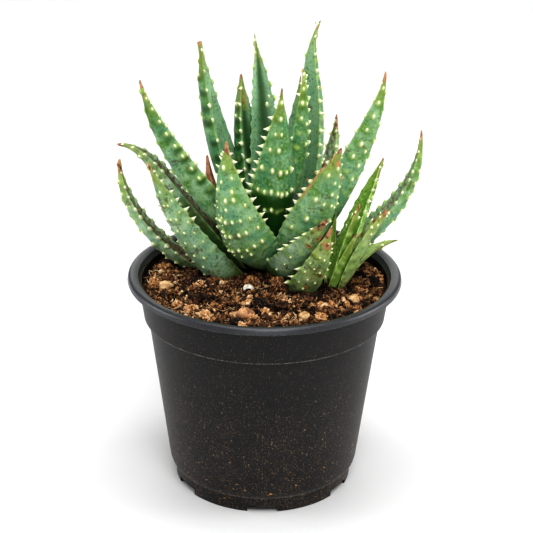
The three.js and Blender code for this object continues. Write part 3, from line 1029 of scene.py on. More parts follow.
    def surface(self, place: Place, u: float, upper: bool) -> Vector:
        """Returns a point of the skin.

        Args:
            place: The place along the leaf.
            u: The station across it, from -1 to 1.
            upper: Whether the point is on the channelled upper face.

        Returns:
            The point, in millimetres.
        """
        half = self.half_width(place.s)
        side = Side.RIGHT if u > 0 else Side.LEFT
        spread = half + self.scallop(place.s, side) * u**self.SCALLOP_POWER
        bow = max(0.0, 1 - u * u)
        rim = min(self.RIM, half * 0.6) * min(1.0, bow / 0.12) ** 0.5
        channel = self.MARGIN_LIFT * half * (u * u - 0.5)
        lie = Vector((u * half, place.s * self.length, self.heading))
        uneven = self.WAVE * grain(lie, self.WAVE_SIZE) + self.RIPPLE * grain(lie, self.RIPPLE_SIZE)
        wave = uneven * bow * min(1.0, half / 4)
        if upper:
            rise = channel + rim - self.CHANNEL * half * bow * bow
        else:
            thick = half * (self.KEEL + self.KEEL_GAIN * place.s) + self.THINNEST
            rise = channel - rim - thick * bow**0.75 - self.swell(place.s, u) * bow**0.3
        return place.at + place.across * (u * spread) + place.upper * (rise + wave)

    def normal(self, place: Place, u: float, upper: bool) -> Vector:
        """Finds the outward direction of the skin.

        Args:
            place: The place along the leaf.
            u: The station across it, from -1 to 1.
            upper: Whether the point is on the upper face.

        Returns:
            The direction, of unit length.
        """
        ahead, behind = self.place(place.s + 0.5 / self.length), self.place(place.s - 0.5 / self.length)
        run = self.surface(ahead, u, upper) - self.surface(behind, u, upper)
        span = self.surface(place, min(1, u + 0.05), upper) - self.surface(place, max(-1, u - 0.05), upper)
        out = run.cross(span).normalized()
        facing = place.upper if upper else -place.upper
        return out if out.dot(facing) > 0 else -out

    def tooth_stations(self) -> list[float]:
        """Draws where the teeth of one margin stand.

        Returns:
            Shares of the leaf's length, from its base.
        """
        stations = []
        at = self.draw.uniform(self.TOOTH_START, self.TOOTH_START + self.tooth_pitch)
        while at < self.length - self.TOOTH_END:
            s = at / self.length
            if self.place(s).at.z > self.FIRST_SPINE_Z:
                stations.append(s)
            at += self.tooth_pitch * self.draw.uniform(*self.TOOTH_SPACING) * mix(0.85, 1.1, s)
        return stations

    def pearl_stations(self) -> Iterator[tuple[float, float, float]]:
        """Draws the bumps of the lower face: the rows in set places, and then others beside them.

        Yields:
            Each bump's share along, station across and size.
        """
        shown = [spot for row in self.bumps for spot in self.row_stations(row)]
        yield from shown
        low = min((u for _, u, _ in shown), default=2.0) - self.ROW_GAP
        high = max((u for _, u, _ in shown), default=-2.0) + self.ROW_GAP
        at = self.draw.uniform(*self.BAND_START)
        while at < self.length - self.BAND_END:
            s = at / self.length
            count = max(1, round(2.3 * self.half_width(s) / self.PEARL_PITCH))
            first = -self.BAND_EDGE if count > 1 else 0
            for spot in self.row_stations(Band(at, first, self.BAND_EDGE, count)):
                if not low < spot[1] < high:
                    yield spot
            at += self.BAND_PITCH * self.draw.uniform(*self.BAND_SPACING) * mix(1, 0.85, s)

    def row_stations(self, row: Band | Line) -> Iterator[tuple[float, float, float]]:
        """Draws the bumps of one row, a little out of line.

        Args:
            row: The row.

        Yields:
            Each bump's share along, station across and size.
        """
        if isinstance(row, Band):
            steps = max(1, row.count - 1)
            spots = [(row.at, mix(row.first, row.last, i / steps)) for i in range(row.count)]
        else:
            count = 1 + round((row.end - row.start) / row.pitch)
            spots = [(row.start + row.pitch * i, row.u) for i in range(count)]
        for at, u in spots:
            at += self.draw.uniform(-self.STRAY_ALONG, self.STRAY_ALONG)
            u += self.draw.uniform(-self.STRAY_ACROSS, self.STRAY_ACROSS)
            s = at / self.length
            if s < 0.98 and self.place(s).at.z > self.FIRST_SPINE_Z:
                size = row.size * self.draw.uniform(*self.SPINE_SIZES) * mix(1, 0.7, s)
                yield s, max(-self.BUMP_EDGE, min(self.BUMP_EDGE, u)), size

    def shade(self, s: float, u: float) -> float:
        """Works out the lower face's painted shade and deeper green, round and below its bumps and near its
        base.

        Args:
            s: A share of the leaf's length.
            u: The station across it, from -1 to 1.

        Returns:
            A value from 0, with no shade painted and the bloom whole, to 1.
        """
        half = self.half_width(s)
        total = 0.0
        for at, station, size in self.near_bumps(s, 5):
            along = (s - at) * self.length + self.PATCH_SHIFT
            across = (u - station) * half * 1.2
            total += self.patches * size * bell(along, across, *self.PATCH)
        for side, teeth in self.teeth.items():
            inward = (1 - u * side.value) * half
            if inward < 4 and teeth and self.patches > 0.5:
                i = bisect_left(teeth, s)
                for tooth in teeth[max(0, i - 1) : i + 1]:
                    along = (s - tooth) * self.length + self.PATCH_SHIFT
                    total += self.patches * bell(along, inward - 1.3, *self.TOOTH_PATCH)
        # painted shade near the base, among the other leaves and over the soil
        if self.painted_shade_below:
            total += 0.8 * (1 - smooth(self.painted_shade_below - 5, self.painted_shade_below, s * self.length))
        return min(1.0, total)

    def dryness(self, s: float, u: float) -> float:
        """Works out how dried the skin is.

        Args:
            s: A share of the leaf's length.
            u: The station across it, from -1 to 1.

        Returns:
            A value from 0, where the skin is fresh, to 1.
        """
        to_tip = (1 - s) * self.length * (1 - 0.35 * abs(u))
        dry = 1 - smooth(self.tip_dry * 0.35, self.tip_dry * 1.8, to_tip)
        for rust in self.rust:
            near_margin = smooth(1 - rust.width, 1 - rust.width * 0.3, u * rust.side.value)
            after_start = smooth(rust.start - 0.05, rust.start + 0.03, s)
            before_end = smooth(-rust.end - 0.03, -rust.end + 0.05, -s)
            dry = max(dry, 0.85 * near_margin * (after_start * before_end))
        half = self.half_width(s)
        for at, station, radius in self.scars:
            away = math.hypot((s - at) * self.length, (u - station) * half)
            dry = max(dry, 1 - smooth(0, radius * 1.6, away))
        return max(dry, 0.3 * (1 - smooth(1, 20, to_tip)))

    def paint(self, s: float, u: float, upper: bool) -> Paint:
        """Collects the values that a point of the skin carries.

        Args:
            s: A share of the leaf's length.
            u: The station across it, from -1 to 1.
            upper: Whether the point is on the upper face.

        Returns:
            The values by name.
        """
        clear = self.place(s).at.z - SOIL_LEVEL
        return {
            "across_mm": u * self.half_width(s) + (40 if upper else 0) + self.heading,
            "along_mm": s * self.length,
            "edge": abs(u),
            # painted shade: along the upper face's channel, and on the lower face round its bumps and near
            # its base
            "shade": self.groove * (1 - u * u) ** 3 if upper else self.shade(s, u),
            "pearl": 0.0 if upper else min(0.3, 0.9 * self.swell(s, u)),
            "dry": self.dryness(s, u),
            "husk": self.husk * smooth(1, 0.7, abs(u)) * (1 - 0.5 * s) if upper else 0.0,
            # near the soil, where the main plant's leaves carry painted shade
            "pale": 0.7 * (1 - smooth(0, 11, clear)),
            # the upper face's 1.6 paints light on it; on the lower face the bloom thins towards the tip
            "bloom_and_upper_light": 1.6 if upper else 1 - 0.55 * smooth(0.55, 0.95, s),
        }

    def body(self) -> Shape:
        """Builds the leaf without its teeth and bumps.

        Returns:
            The closed body.
        """
        shape = Shape(*LEAF_PAINTS)
        rows = self.line[: -round(self.END / self.STEP) : self.ROW]
        rings = []
        for place in rows[:-1]:
            ring = []
            for i in range(self.LOWER_SEGMENTS):
                u = -math.cos(math.pi * i / self.LOWER_SEGMENTS)
                ring.append(shape.point(self.surface(place, u, False), self.paint(place.s, u, False)))
            for i in range(self.UPPER_SEGMENTS):
                u = math.cos(math.pi * i / self.UPPER_SEGMENTS)
                ring.append(shape.point(self.surface(place, u, True), self.paint(place.s, u, i > 0)))
            if self.blunt and place.s > 0.95:
                self.tear([shape.points[number] for number in ring], place)
            rings.append(ring[::-1])
        base, tip = self.line[0], rows[-1]
        first = shape.point(base.at - base.upper * self.half_width(0) * 0.3, self.paint(0, 0, False))
        last = shape.point(tip.at, self.paint(1, 0, False))
        shape.loft(rings, first, last)
        return shape

    def tear(self, corners: list[Vector], place: Place) -> None:
        """Makes the end of a blunt leaf ragged."""
        for corner in corners:
            corner += place.along * self.draw.uniform(-0.5, 0.3)

    def tooth(self, s: float, side: Side) -> Shape:
        """Builds a flat, broad-based, forward-leaning tooth.

        Args:
            s: A share of the leaf's length.
            side: The margin that it stands on.

        Returns:
            The tooth.
        """
        place = self.place(s)
        u = float(side.value)
        foot = self.surface(place, u, True) - place.across * u * 0.5
        narrow = min(1.0, 0.65 + self.half_width(s) / 13)  # teeth are smaller where the leaf is narrow
        size = mix(1.15, 0.9, s) * self.draw.uniform(*self.SPINE_SIZES) * narrow
        lean = math.radians(self.draw.uniform(*self.TOOTH_LEAN))
        out = (place.across * u * math.cos(lean) + place.along * math.sin(lean)).normalized()
        out = (out + place.upper * self.draw.uniform(-0.1, 0.35)).normalized()
        long, broad, flat = (measure * size for measure in self.TOOTH)
        paint = self.paint(s, u, True)
        brown = max(paint["dry"], 0.5 if self.draw.random() < self.BROWN_TEETH else 0.0)
        shape = Shape(*LEAF_PAINTS)
        rings = []
        for t, wide, pearl in self.TOOTH_RINGS:
            middle = foot + out * (long * t) + place.along * (0.35 * size * t * t)
            corners = oval(middle, place.along, place.upper, broad * wide, flat * wide, self.TOOTH_SIDES)
            skin = {**paint, "pearl": pearl, "edge": 0.97, "shade": 0.3 * (1 - t), "dry": brown * t}
            rings.append(shape.ring(corners, skin))
        top = {**paint, "pearl": 1, "shade": 0, "dry": brown}
        self.close_spine(shape, rings, foot, foot + out * long + place.along * (0.35 * size), top)
        return shape

    def pearl(self, s: float, u: float, size: float, upper: bool = False) -> Shape:
        """Builds a hard blunt bump that points a little towards the leaf's tip.

        Args:
            s: A share of the leaf's length.
            u: The station across it, from -1 to 1.
            size: Its size, where 1 is a common one.
            upper: Whether it's on the upper face.

        Returns:
            The bump.
        """
        place = self.place(s)
        foot = self.surface(place, u, upper)
        out = self.normal(place, u, upper)
        run = (place.along - out * place.along.dot(out)).normalized()
        span = out.cross(run)
        wide, tall = (measure * size for measure in self.PEARL)
        paint = self.paint(s, u, upper)
        shape = Shape(*LEAF_PAINTS)
        rings = []
        for height, breadth, pearl in self.PEARL_RINGS:
            middle = foot + out * (tall * height) + run * (0.8 * size * max(0.0, height))
            half = wide * breadth
            corners = oval(middle, run, span, half * self.PEARL_STRETCH, half, self.PEARL_SIDES)
            skin = {**paint, "pearl": pearl, "shade": paint["shade"] * 0.5, "dry": paint["dry"] * 0.7}
            rings.append(shape.ring(corners, skin))
        tip = foot + out * tall + run * (0.95 * size)
        top = {**paint, "pearl": 1, "dry": paint["dry"] * 0.6}
        self.close_spine(shape, rings, foot - out * 0.3, tip, top)
        return shape

    @staticmethod
    def close_spine(shape: Shape, rings: list[Ring], foot: Vector, tip: Vector, paint: Paint) -> None:
        """Closes a spine's rings at its foot and tip, with its faces turned outward.

        Args:
            shape: The spine.
            rings: Its rings, from foot to tip.
            foot: The point that closes its foot.
            tip: The point that closes its tip.
            paint: The values that both points carry.
        """
        axis = (tip - foot).normalized()
        first = [shape.points[number] for number in rings[0][:3]]
        turn = (first[1] - first[0]).cross(first[2] - first[1]).dot(axis)
        if turn < 0:
            rings = [ring[::-1] for ring in rings]
        shape.loft(rings, shape.point(foot, paint), shape.point(tip, paint))

    def spines(self, crowd: Callable[[Shape], bool]) -> Shape:
        """Builds the leaf's teeth and bumps.

        Args:
            crowd: Says whether a spine runs into another leaf or out of the solids' box.

        Returns:
            Those that have room.
        """
        spines = [self.tooth(s, side) for side, stations in self.teeth.items() for s in stations]
        spines += [self.pearl(*spot) for spot in self.pearls]
        if not self.bare:
            spines += [self.pearl(at / self.length, u, size, upper=True) for at, u, size in self.warts]
        shape = Shape(*LEAF_PAINTS)
        for spine in spines:
            if not crowd(spine):
                shape.merge(spine)
        return shape


@dataclass
class Rosette:
    """Leaves round one stem."""

    stem: Stem
    stem_node: str
    slot: str
    leaves: list[Leaf]

    def grow(self, draw: random.Random) -> dict[str, Shape]:
        """Plants every leaf.

        Args:
            draw: The source of random numbers.

        Returns:
            The leaves' bare bodies by node.
        """
        for leaf in self.leaves:
            leaf.plant(self.stem, random.Random(draw.random()))
        return {leaf.node: leaf.body() for leaf in self.leaves}

    def dress(self, bodies: dict[str, Shape], trees: dict[str, BVHTree]) -> None:
        """Adds teeth and bumps to the bodies, makes the pieces and gives the stem its finish.

        Args:
            bodies: Every leaf's body by node.
            trees: Search trees over them, by node.
        """
        for leaf in self.leaves:
            others = [tree for node, tree in trees.items() if node != leaf.node]
            shape = bodies[leaf.node]
            shape.merge(leaf.spines(lambda spine: crowded(spine, others)))
            piece = shape.build(f"{leaf.node}_skin", leaf.skin.material)
            settle(piece, "dried_leaf" if leaf.bare else self.slot, leaf.node)
        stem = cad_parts[self.stem_node]
        stem.data.materials.clear()
        stem.data.materials.append(FibrousStem().material)


def beyond_box(at: Vector, slack: float = 0.15) -> bool:
    """Says whether a point lies outside the solids' box or within slack of its walls."""
    low, high = solid_box
    return any(a * MM < b + slack * MM or a * MM > c - slack * MM for a, b, c in zip(at, low, high))


def inside(tree: BVHTree, at: Vector, reach: float = 6) -> bool:
    """Says whether a point lies inside a closed body, if its skin is within reach."""
    nearest, normal, _, _ = tree.find_nearest(at, reach)
    return nearest is not None and (at - nearest).dot(normal) < 0


def crowded(spine: Shape, others: list[BVHTree]) -> bool:
    """Says whether a spine leaves the solids' box or its upper part runs into another leaf.

    Args:
        spine: A tooth or a bump.
        others: Search trees over the other leaves.

    Returns:
        True where there's no room for it.
    """
    ends = (spine.points[-1], spine.points[-4])
    buried = any(inside(tree, at) for tree in others for at in ends)
    return buried or any(beyond_box(at) for at in spine.points)


MAIN_STEM = Stem(4, 18, 5.8, 4.8, 75, 118)
OFFSET_STEM = Stem(30, -2, 2.8, 2.2, 80, 98)
LEFT, RIGHT = Side.LEFT, Side.RIGHT


def main_leaves() -> list[Leaf]:
    """Lists the plant's own leaves.

    Returns:
        The leaves, from the outermost to the heart.
    """
    return [
        Leaf("leaf_low_left", 178, 83, 95, 12, 17, 65, OLD_SKIN, late=1.4, hook=9, roll=10, twist=-18,
             belly=0.32, taper=0.62, tip_dry=4.5, husk=0.8, groove=0.8,
             bumps=(Line(0.62, 40, 88, 6.4), Line(0.2, 44, 82, 8))),
        Leaf("leaf_arched_left", 174, 85, 95, 16, 52, -4, OLD_SKIN, hook=-58, sway=-2, roll=12, twist=-10,
             belly=0.33, taper=0.72, tip_dry=2.5, husk=0.8, groove=0.8, painted_shade_below=58,
             bumps=(Line(0.72, 48, 88, 5.6), Line(0.25, 30, 84, 7.5), Line(-0.3, 24, 80, 8))),
        Leaf("leaf_front_left_low", -158, 77, 94, 17, 41, 28, OLD_SKIN, roll=42, twist=4, belly=0.29,
             taper=0.8, tip_dry=3.5, rust=(Rust(LEFT, 0.6, 0.95, 0.12),), tooth_pitch=5.8, painted_shade_below=29,
             bumps=(Line(0.84, 42, 72, 6.2, 0.75), Line(0.45, 42, 78, 7.5, 0.75), Line(0.12, 38, 76, 7, 0.7),
                    Line(-0.32, 34, 66, 8, 0.6))),
        Leaf("leaf_front_right_low", -61, 79, 70, 18, 36, 29, SCUFFED_SKIN, roll=5, belly=0.33, taper=0.78,
             tip_dry=4.5, rust=(Rust(RIGHT, 0.6, 1, 0.2),),
             scars=((0.86, -0.2, 2), (0.62, 0, 1.1), (0.5, -0.5, 1.2), (0.44, -0.2, 1.2)),
             bumps=(Line(-0.86, 36, 56, 6, 0.7), Line(-0.62, 33, 54, 7, 0.7), Line(-0.3, 31, 58, 7.5, 0.7))),
        Leaf("leaf_front_low", -68, 92, 60, 19, 46, 0, OLD_SKIN, sway=15, roll=-17, twist=24, belly=0.2,
             taper=0.76, tip_dry=5,
             scars=((0.45, 0.3, 1.1), (0.62, 0.2, 1.2), (0.8, 0.1, 2.1), (0.7, -0.5, 1.2)),
             tooth_pitch=4.2, painted_shade_below=17,
             bumps=(Line(-0.46, 20, 50, 7.6), Line(-0.72, 16, 44, 7, 0.8), Line(-0.1, 20, 46, 6.5, 0.8),
                    Line(0.25, 18, 40, 7, 0.8))),
        Leaf("leaf_low_right", 0, 92, 97, 16, 25, 67, GROWN_SKIN, late=1.65, sway=-6, roll=8, belly=0.31,
             taper=0.93, tip_dry=3.5, husk=0.7, tooth_pitch=5, scallops=0.25,
             bumps=(Line(-0.55, 46, 88, 6.5), Line(-0.1, 40, 80, 7))),
        Leaf("leaf_back_low_left", 148, 93, 52, 16, 38, 12, OLD_SKIN, tip_dry=4),
        Leaf("leaf_back_low", 122, 90, 54, 18, 32, 14, OLD_SKIN, tip_dry=3),
        Leaf("leaf_back_low_mid", 86, 88, 58, 17, 42, 16, OLD_SKIN, tip_dry=4),
        Leaf("leaf_back_low_right", 52, 89, 56, 18, 34, 16, OLD_SKIN, tip_dry=3),
        Leaf("leaf_left_tall", -172, 105, 99, 18, 44, 23, sway=5, hook=10, roll=26, belly=0.3, taper=0.88,
             tip_dry=3, tooth_pitch=6.2, patches=0.51,
             bumps=(Line(0.92, 28, 93, 6.2, 0.85), Line(0, 20, 44, 12, 0.8), Line(-0.35, 38, 92, 7.8, 1.1))),
        Leaf("leaf_front_left", -128, 99, 72, 27, 44, 49, sway=-13, roll=15, twist=-5, belly=0.31,
             taper=0.96, tip_dry=4.5, tooth_pitch=4.2,
             bumps=(Line(-0.32, 22, 46, 2.6, 0.55), Line(-0.12, 20, 38, 3.2, 0.6),
                    Band(20, 0.1, 0.8, 3, 0.9), Band(23.2, -0.3, 0.82, 6), Band(30.5, -0.15, 0.86, 5, 1.1),
                    Band(33, -0.6, -0.2, 2), Band(37.5, -0.45, 0.62, 5, 1.1), Band(36, 0.86, 0.86),
                    Band(42.5, 0.2, 0.86, 2), Band(46.5, 0.3, 0.64, 2, 1.1), Band(50.5, -0.2, 0.62, 2, 1.1),
                    Band(55, 0.1, 0.74, 2), Band(60, 0.26, 0.26, 1, 1.2))),
        Leaf("leaf_front_right", -44, 99, 71, 25, 58, 9, sway=4, hook=-3, roll=-2, twist=-15, belly=0.37,
             taper=0.75, tip_dry=2, rust=(Rust(LEFT, 0.6, 1, 0.04),), tooth_pitch=4.4,
             scars=((0.82, 0.4, 1.2), (0.72, 0.6, 1.6), (0.9, -0.2, 1.3), (0.78, 0.7, 2)),
             bumps=(Band(28, -0.86, -0.2, 4), Band(36, -0.7, 0.1, 4, 1.25), Line(-0.72, 46, 60, 12, 1.2),
                    Band(45.5, -0.44, 0.3, 3, 1.1), Line(-0.24, 50, 62, 6, 1), Line(0.2, 44, 58, 5, 0.9))),
        Leaf("leaf_right_tall", -12, 96, 105, 19, 58, 13, sway=2, hook=15, roll=-29, twist=-7, belly=0.33,
             taper=0.85, tip_dry=4, rust=(Rust(RIGHT, 0.85, 1, 0.3),), tooth_pitch=6.6,
             bumps=(Line(-0.72, 44, 96, 6.6, 1.1), Line(-0.3, 40, 70, 7.2), Line(0.1, 46, 94, 9, 0.9),
                    Line(0.5, 36, 92, 7.4))),
        Leaf("leaf_back_left_tall", 162, 107, 96, 19, 62, 20, FRESH_SKIN, roll=2, belly=0.33, taper=0.89,
             tip_dry=1.4, blunt=0.8, tooth_pitch=7.5, patches=0.85,
             bumps=(Line(-0.1, 38, 90, 8, 1.2), Line(0.5, 44, 80, 18, 0.9))),
        Leaf("leaf_back_right", 43, 100, 70, 13, 37, 51, OLD_SKIN, sway=-7, belly=0.33, taper=0.81,
             tip_dry=5, husk=0.8),
        Leaf("leaf_back_mid_left", 108, 101, 72, 19, 50, 16, tip_dry=3),
        Leaf("leaf_back_mid_right", 68, 99, 70, 18, 50, 16, tip_dry=3),
        Leaf("leaf_front_mid", -88, 112, 75, 23, 82, -3, FRESH_SKIN, sway=18, roll=13, twist=10, belly=0.32,
             taper=1.1, tip_dry=2.2, scars=((0.55, 0.45, 0.8),), painted_shade_below=27, tooth_pitch=4.2,
             bumps=(Band(17.2, -0.64, 0.4, 6), Band(26.5, -0.9, 0.5, 8, 1.15),
                    Band(36.6, -0.9, 0.32, 5, 1.25), Band(46, -0.82, -0.44, 2, 1.1),
                    Band(53.5, -0.72, -0.4, 2), Band(60, -0.5, -0.5, 1, 1.2),
                    Band(67.5, -0.6, -0.6, 1, 1.2))),
        Leaf("leaf_inner_left", 133, 115, 69, 18, 67, 18, FRESH_SKIN, sway=4, roll=17, twist=-4, belly=0.33,
             taper=0.84, tip_dry=2, groove=0.7, warts=((40, 0.84, 1), (31, 0.3, 1.1), (28, 0.45, 1)),
             tooth_pitch=5.5, patches=0.6,
             scars=((0.76, -0.2, 1), (0.8, -0.2, 1.2), (0.84, -0.2, 1.2), (0.88, -0.1, 1))),
        Leaf("leaf_back_mid", 104, 109, 91, 17, 81, -14, FRESH_SKIN, sway=10, roll=-6, belly=0.31, taper=0.9,
             tip_dry=1.5, tooth_pitch=5.5, groove=0.8,
             warts=((58, -0.36, 1.1), (61.5, -0.62, 0.8), (52, 0.56, 0.9), (45, 0.7, 0.9))),
        Leaf("leaf_back_right_tall", 31, 105, 105, 18, 67, 36, FRESH_SKIN, sway=8, hook=-52, roll=3,
             twist=10, belly=0.34, taper=0.93, tip_dry=3.5, tooth_pitch=6.8),
        Leaf("leaf_inner_right", -30, 114, 78, 10, 78, 11, FRESH_SKIN, hook=4, roll=-15, belly=0.3,
             taper=0.8, tip_dry=1.6, tooth_pitch=5,
             bumps=(Line(-0.72, 36, 76, 6.5, 1.1), Line(0.62, 32, 74, 5.2, 1.4), Line(0, 44, 72, 9, 0.9))),
        Leaf("leaf_inner_back", 62, 115, 67, 11, 69, 14, FRESH_SKIN, sway=-11, roll=4, belly=0.29,
             taper=0.93, tip_dry=2),
        Leaf("leaf_heart_left", 195, 117.6, 33, 7.5, 80, 8, FRESH_SKIN, reach=2.2, tip_dry=1.5),
        Leaf("leaf_heart_right", 15, 117.6, 29, 7, 80, 8, FRESH_SKIN, reach=2.2, tip_dry=1.5),
        Leaf("leaf_dry", 168, 98, 56, 9, 40, 45, DRIED_SKIN, taper=0.7, bare=True),
    ]


def offset_leaves() -> list[Leaf]:
    """Lists the leaves of the young plant at the side.

    Returns:
        The leaves.
    """
    return [
        Leaf("offset_leaf_back", 34, 90, 65, 12, 76, -21, OFFSET_SKIN, seat=80, roll=-3, hook=6, belly=0.31,
             taper=0.77, tip_dry=1.5),
        Leaf("offset_leaf_inner", 62, 91, 38, 4.5, 78, 2, OFFSET_SKIN, seat=140, tip_dry=1),
        Leaf("offset_leaf_left", -14, 91, 47, 7.5, 79, -12, OFFSET_SKIN, seat=215, roll=17, belly=0.34,
             taper=0.8, tip_dry=3),
        Leaf("offset_leaf_right", -12, 92, 48, 10, 79, -33, DUSTY_OFFSET_SKIN, seat=-30, roll=10, belly=0.34,
             taper=0.7, tip_dry=3.5, scars=((0.8, 0.4, 1.3), (0.6, 0.6, 1))),
        Leaf("offset_leaf_front", -26, 91, 35, 6, 75, -14, OFFSET_SKIN, seat=-125, belly=0.3, taper=0.9,
             tip_dry=2),
        Leaf("offset_leaf_outer", 14, 91, 39, 7, 78, -78, DUSTY_OFFSET_SKIN, seat=10, roll=8, tip_dry=1.5),
    ]


# ---- pot


@dataclass
class NurseryPot:
    """A thin moulded pot with a flat rolled rim, a collar, a tapered wall and a notched foot ring."""

    height: float = 100
    wall: float = 1.2
    rim: float = 60
    rim_width: float = 4
    lip: float = 60.9
    lip_height: float = 3
    collar_top: float = 56.3
    collar_foot: float = 53.9
    collar_height: float = 19.6
    body_top: float = 51.9
    body_foot: float = 42.9
    body_foot_z: float = 11
    foot_line: float = 41.5
    foot_line_z: float = 7.7
    foot: float = 40
    foot_wall: float = 2.4
    floor_z: float = 5.5
    notches: int = 6
    notch_width: float = 13.4
    notch_height: float = 2.7
    drain: float = 4
    drain_circle: float = 27

    SEGMENTS = 144
    LIP_STEPS = 5
    DRAIN_SEGMENTS = 32
    NOTCH_CORNER = 0.8
    SHARP_BEND = 28  # an edge that bends more than this stays sharp

    def inner_radius(self, z: float) -> float:
        """Works out the inner wall's radius.

        Args:
            z: A height.

        Returns:
            The radius there.
        """
        collar_z = self.height - self.collar_height
        if z >= collar_z:
            return mix(self.collar_foot, self.collar_top, (z - collar_z) / self.collar_height) - self.wall
        share = (z - self.body_foot_z) / (collar_z - self.body_foot_z)
        return mix(self.body_foot, self.body_top, share) - self.wall

    def rolled_edge(self) -> list[tuple[float, float]]:
        """Traces the lip: out under it, round its edge and over the rim to its inner edge.

        Returns:
            Radii and heights.
        """
        under = self.height - self.lip_height
        profile = [(self.lip - 0.5, under), (self.lip - 0.12, under + 0.12), (self.lip, under + 0.5)]
        for i in range(self.LIP_STEPS + 1):
            turn = math.pi / 2 * i / self.LIP_STEPS
            out, up = math.cos(turn), math.sin(turn)
            profile.append((self.rim - 1.2 + 1.9 * out, self.height - 1.6 + 1.6 * up))
        inner = self.rim - self.rim_width
        profile += [(self.rim - 2.2, self.height - 0.12), (inner + 0.8, self.height - 0.6)]
        profile += [(inner + 0.2, self.height - 0.9), (inner, self.height - 1.5)]
        return profile

    def profile(self) -> list[tuple[float, float]]:
        """Traces the wall's section, from under the floor round the outside to the floor's inside.

        Returns:
            Radii and heights.
        """
        collar_z = self.height - self.collar_height
        under = self.height - self.lip_height
        floor = self.body_foot - self.foot_wall - self.wall
        outside = [
            (self.foot - self.foot_wall, self.floor_z),
            (self.foot - self.foot_wall, 0.2),
            (self.foot - self.foot_wall + 0.2, 0),
            (self.foot - 0.6, 0),
            (self.foot - 0.15, 0.15),
            (self.foot, 0.6),
            (self.foot + 0.3, self.foot_line_z - 0.25),
            (self.foot_line - 0.35, self.foot_line_z - 0.15),
            (self.foot_line, self.foot_line_z + 0.15),
            (self.foot_line - 0.05, self.foot_line_z + 0.55),
            (self.body_foot - 0.6, mix(self.foot_line_z, self.body_foot_z, 0.45)),
            (self.body_foot, self.body_foot_z + 0.3),
            (mix(self.body_foot, self.body_top, 0.5), mix(self.body_foot_z, collar_z, 0.5)),
            (self.body_top, collar_z - 0.9),
            (self.body_top + 0.25, collar_z - 0.62),
            (self.collar_foot - 0.3, collar_z - 0.2),
            (self.collar_foot, collar_z + 0.1),
            (self.collar_foot + 0.02, collar_z + 0.7),
            (mix(self.collar_foot, self.collar_top, 0.5), mix(collar_z, under, 0.5)),
            (self.collar_top - 0.25, under - 0.5),
            (self.collar_top + 0.2, under),
        ]
        inside_wall = [
            (self.inner_radius(under), under),
            (self.inner_radius(collar_z) + 0.1, collar_z + 0.2),
            (self.body_top - self.wall, collar_z - 0.8),
            (self.body_foot - self.wall, self.body_foot_z),
            (floor + 1, self.floor_z + self.wall + 0.8),
            (floor, self.floor_z + self.wall),
        ]
        return outside + self.rolled_edge() + inside_wall

    def shell(self) -> Shape:
        """Turns the section round the pot's axis.

        Returns:
            The pot without its notches and holes.
        """
        shape = Shape()
        rings = []
        for radius, z in self.profile():
            rings.append(shape.ring(oval(Vector((0, 0, z)), EAST, NORTH, radius, radius, self.SEGMENTS)))
        under = shape.point(Vector((0, 0, self.floor_z)))
        floor = shape.point(Vector((0, 0, self.floor_z + self.wall)))
        shape.loft(rings, under, floor)
        return shape

    def cutters(self) -> Shape:
        """Builds the blocks and plugs that cut the foot's notches and the floor's drain holes.

        Returns:
            All of them in one shape.
        """
        shape = Shape()
        for i in range(self.notches):
            turn = -math.pi / 2 + i * 2 * math.pi / self.notches
            spin = Matrix.Rotation(turn, 3, "Z")
            self.notch(shape, spin)
            self.plug(shape, Matrix.Rotation(turn + math.pi / self.notches, 3, "Z"))
        return shape

    def notch(self, shape: Shape, spin: Matrix) -> None:
        """Adds one notch's block, with rounded upper corners.

        Args:
            shape: What it's added to.
            spin: The turn round the pot's axis that brings it into place.
        """
        half, top, corner = self.notch_width / 2, self.notch_height, self.NOTCH_CORNER
        rounded = [(half, top - corner), (half - corner * 0.3, top - corner * 0.3), (half - corner, top)]
        outline = [(-half, -1), (half, -1), *rounded, *((-y, z) for y, z in reversed(rounded))]
        near, far = self.foot - 2 * self.foot_wall, self.foot + 2 * self.foot_wall
        rings = [shape.ring(spin @ Vector((depth, y, z)) for y, z in outline) for depth in (near, far)]
        ends = [shape.point(spin @ Vector((depth, 0, 0.5))) for depth in (near, far)]
        shape.loft(rings, *ends)

    def plug(self, shape: Shape, spin: Matrix) -> None:
        """Adds one drain hole's plug.

        Args:
            shape: What it's added to.
            spin: The turn round the pot's axis that brings it into place.
        """
        heights = (self.floor_z - 1, self.floor_z + self.wall + 1)
        middles = [Vector((self.drain_circle, 0, z)) for z in heights]
        rings = []
        for middle in middles:
            edge = oval(middle, EAST, NORTH, self.drain, self.drain, self.DRAIN_SEGMENTS)
            rings.append(shape.ring(spin @ at for at in edge))
        shape.loft(rings, *(shape.point(spin @ middle) for middle in middles))

    def build(self) -> None:
        """Makes the pot."""
        finish = MouldedPolypropylene().material
        rough = self.shell().build("pot_shell_rough", finish)
        tool = self.cutters().build("pot_cutters", finish)
        cut = rough.modifiers.new("cut", "BOOLEAN")
        cut.operation, cut.solver, cut.object = "DIFFERENCE", "EXACT", tool
        graph = bpy.context.evaluated_depsgraph_get()
        mesh = bpy.data.meshes.new_from_object(rough.evaluated_get(graph))
        mesh.name = "nursery_pot"
        mesh.materials.clear()
        mesh.materials.append(finish)
        mesh.shade_smooth()
        mesh.set_sharp_from_angle(angle=math.radians(self.SHARP_BEND))
        for spent in (rough, tool):
            bpy.data.objects.remove(spent)
        piece = bpy.data.objects.new("nursery_pot", mesh)
        bpy.context.scene.collection.objects.link(piece)
        settle(piece, "pot", "pot")


# ---- potting mix


class Grain(Enum):
    """What the loose grains on the mix are, with the range of their tones."""

    PEAT = (0.0, 0.2)
    CRUMB = (0.2, 0.5)
    BARK = (0.5, 0.95)


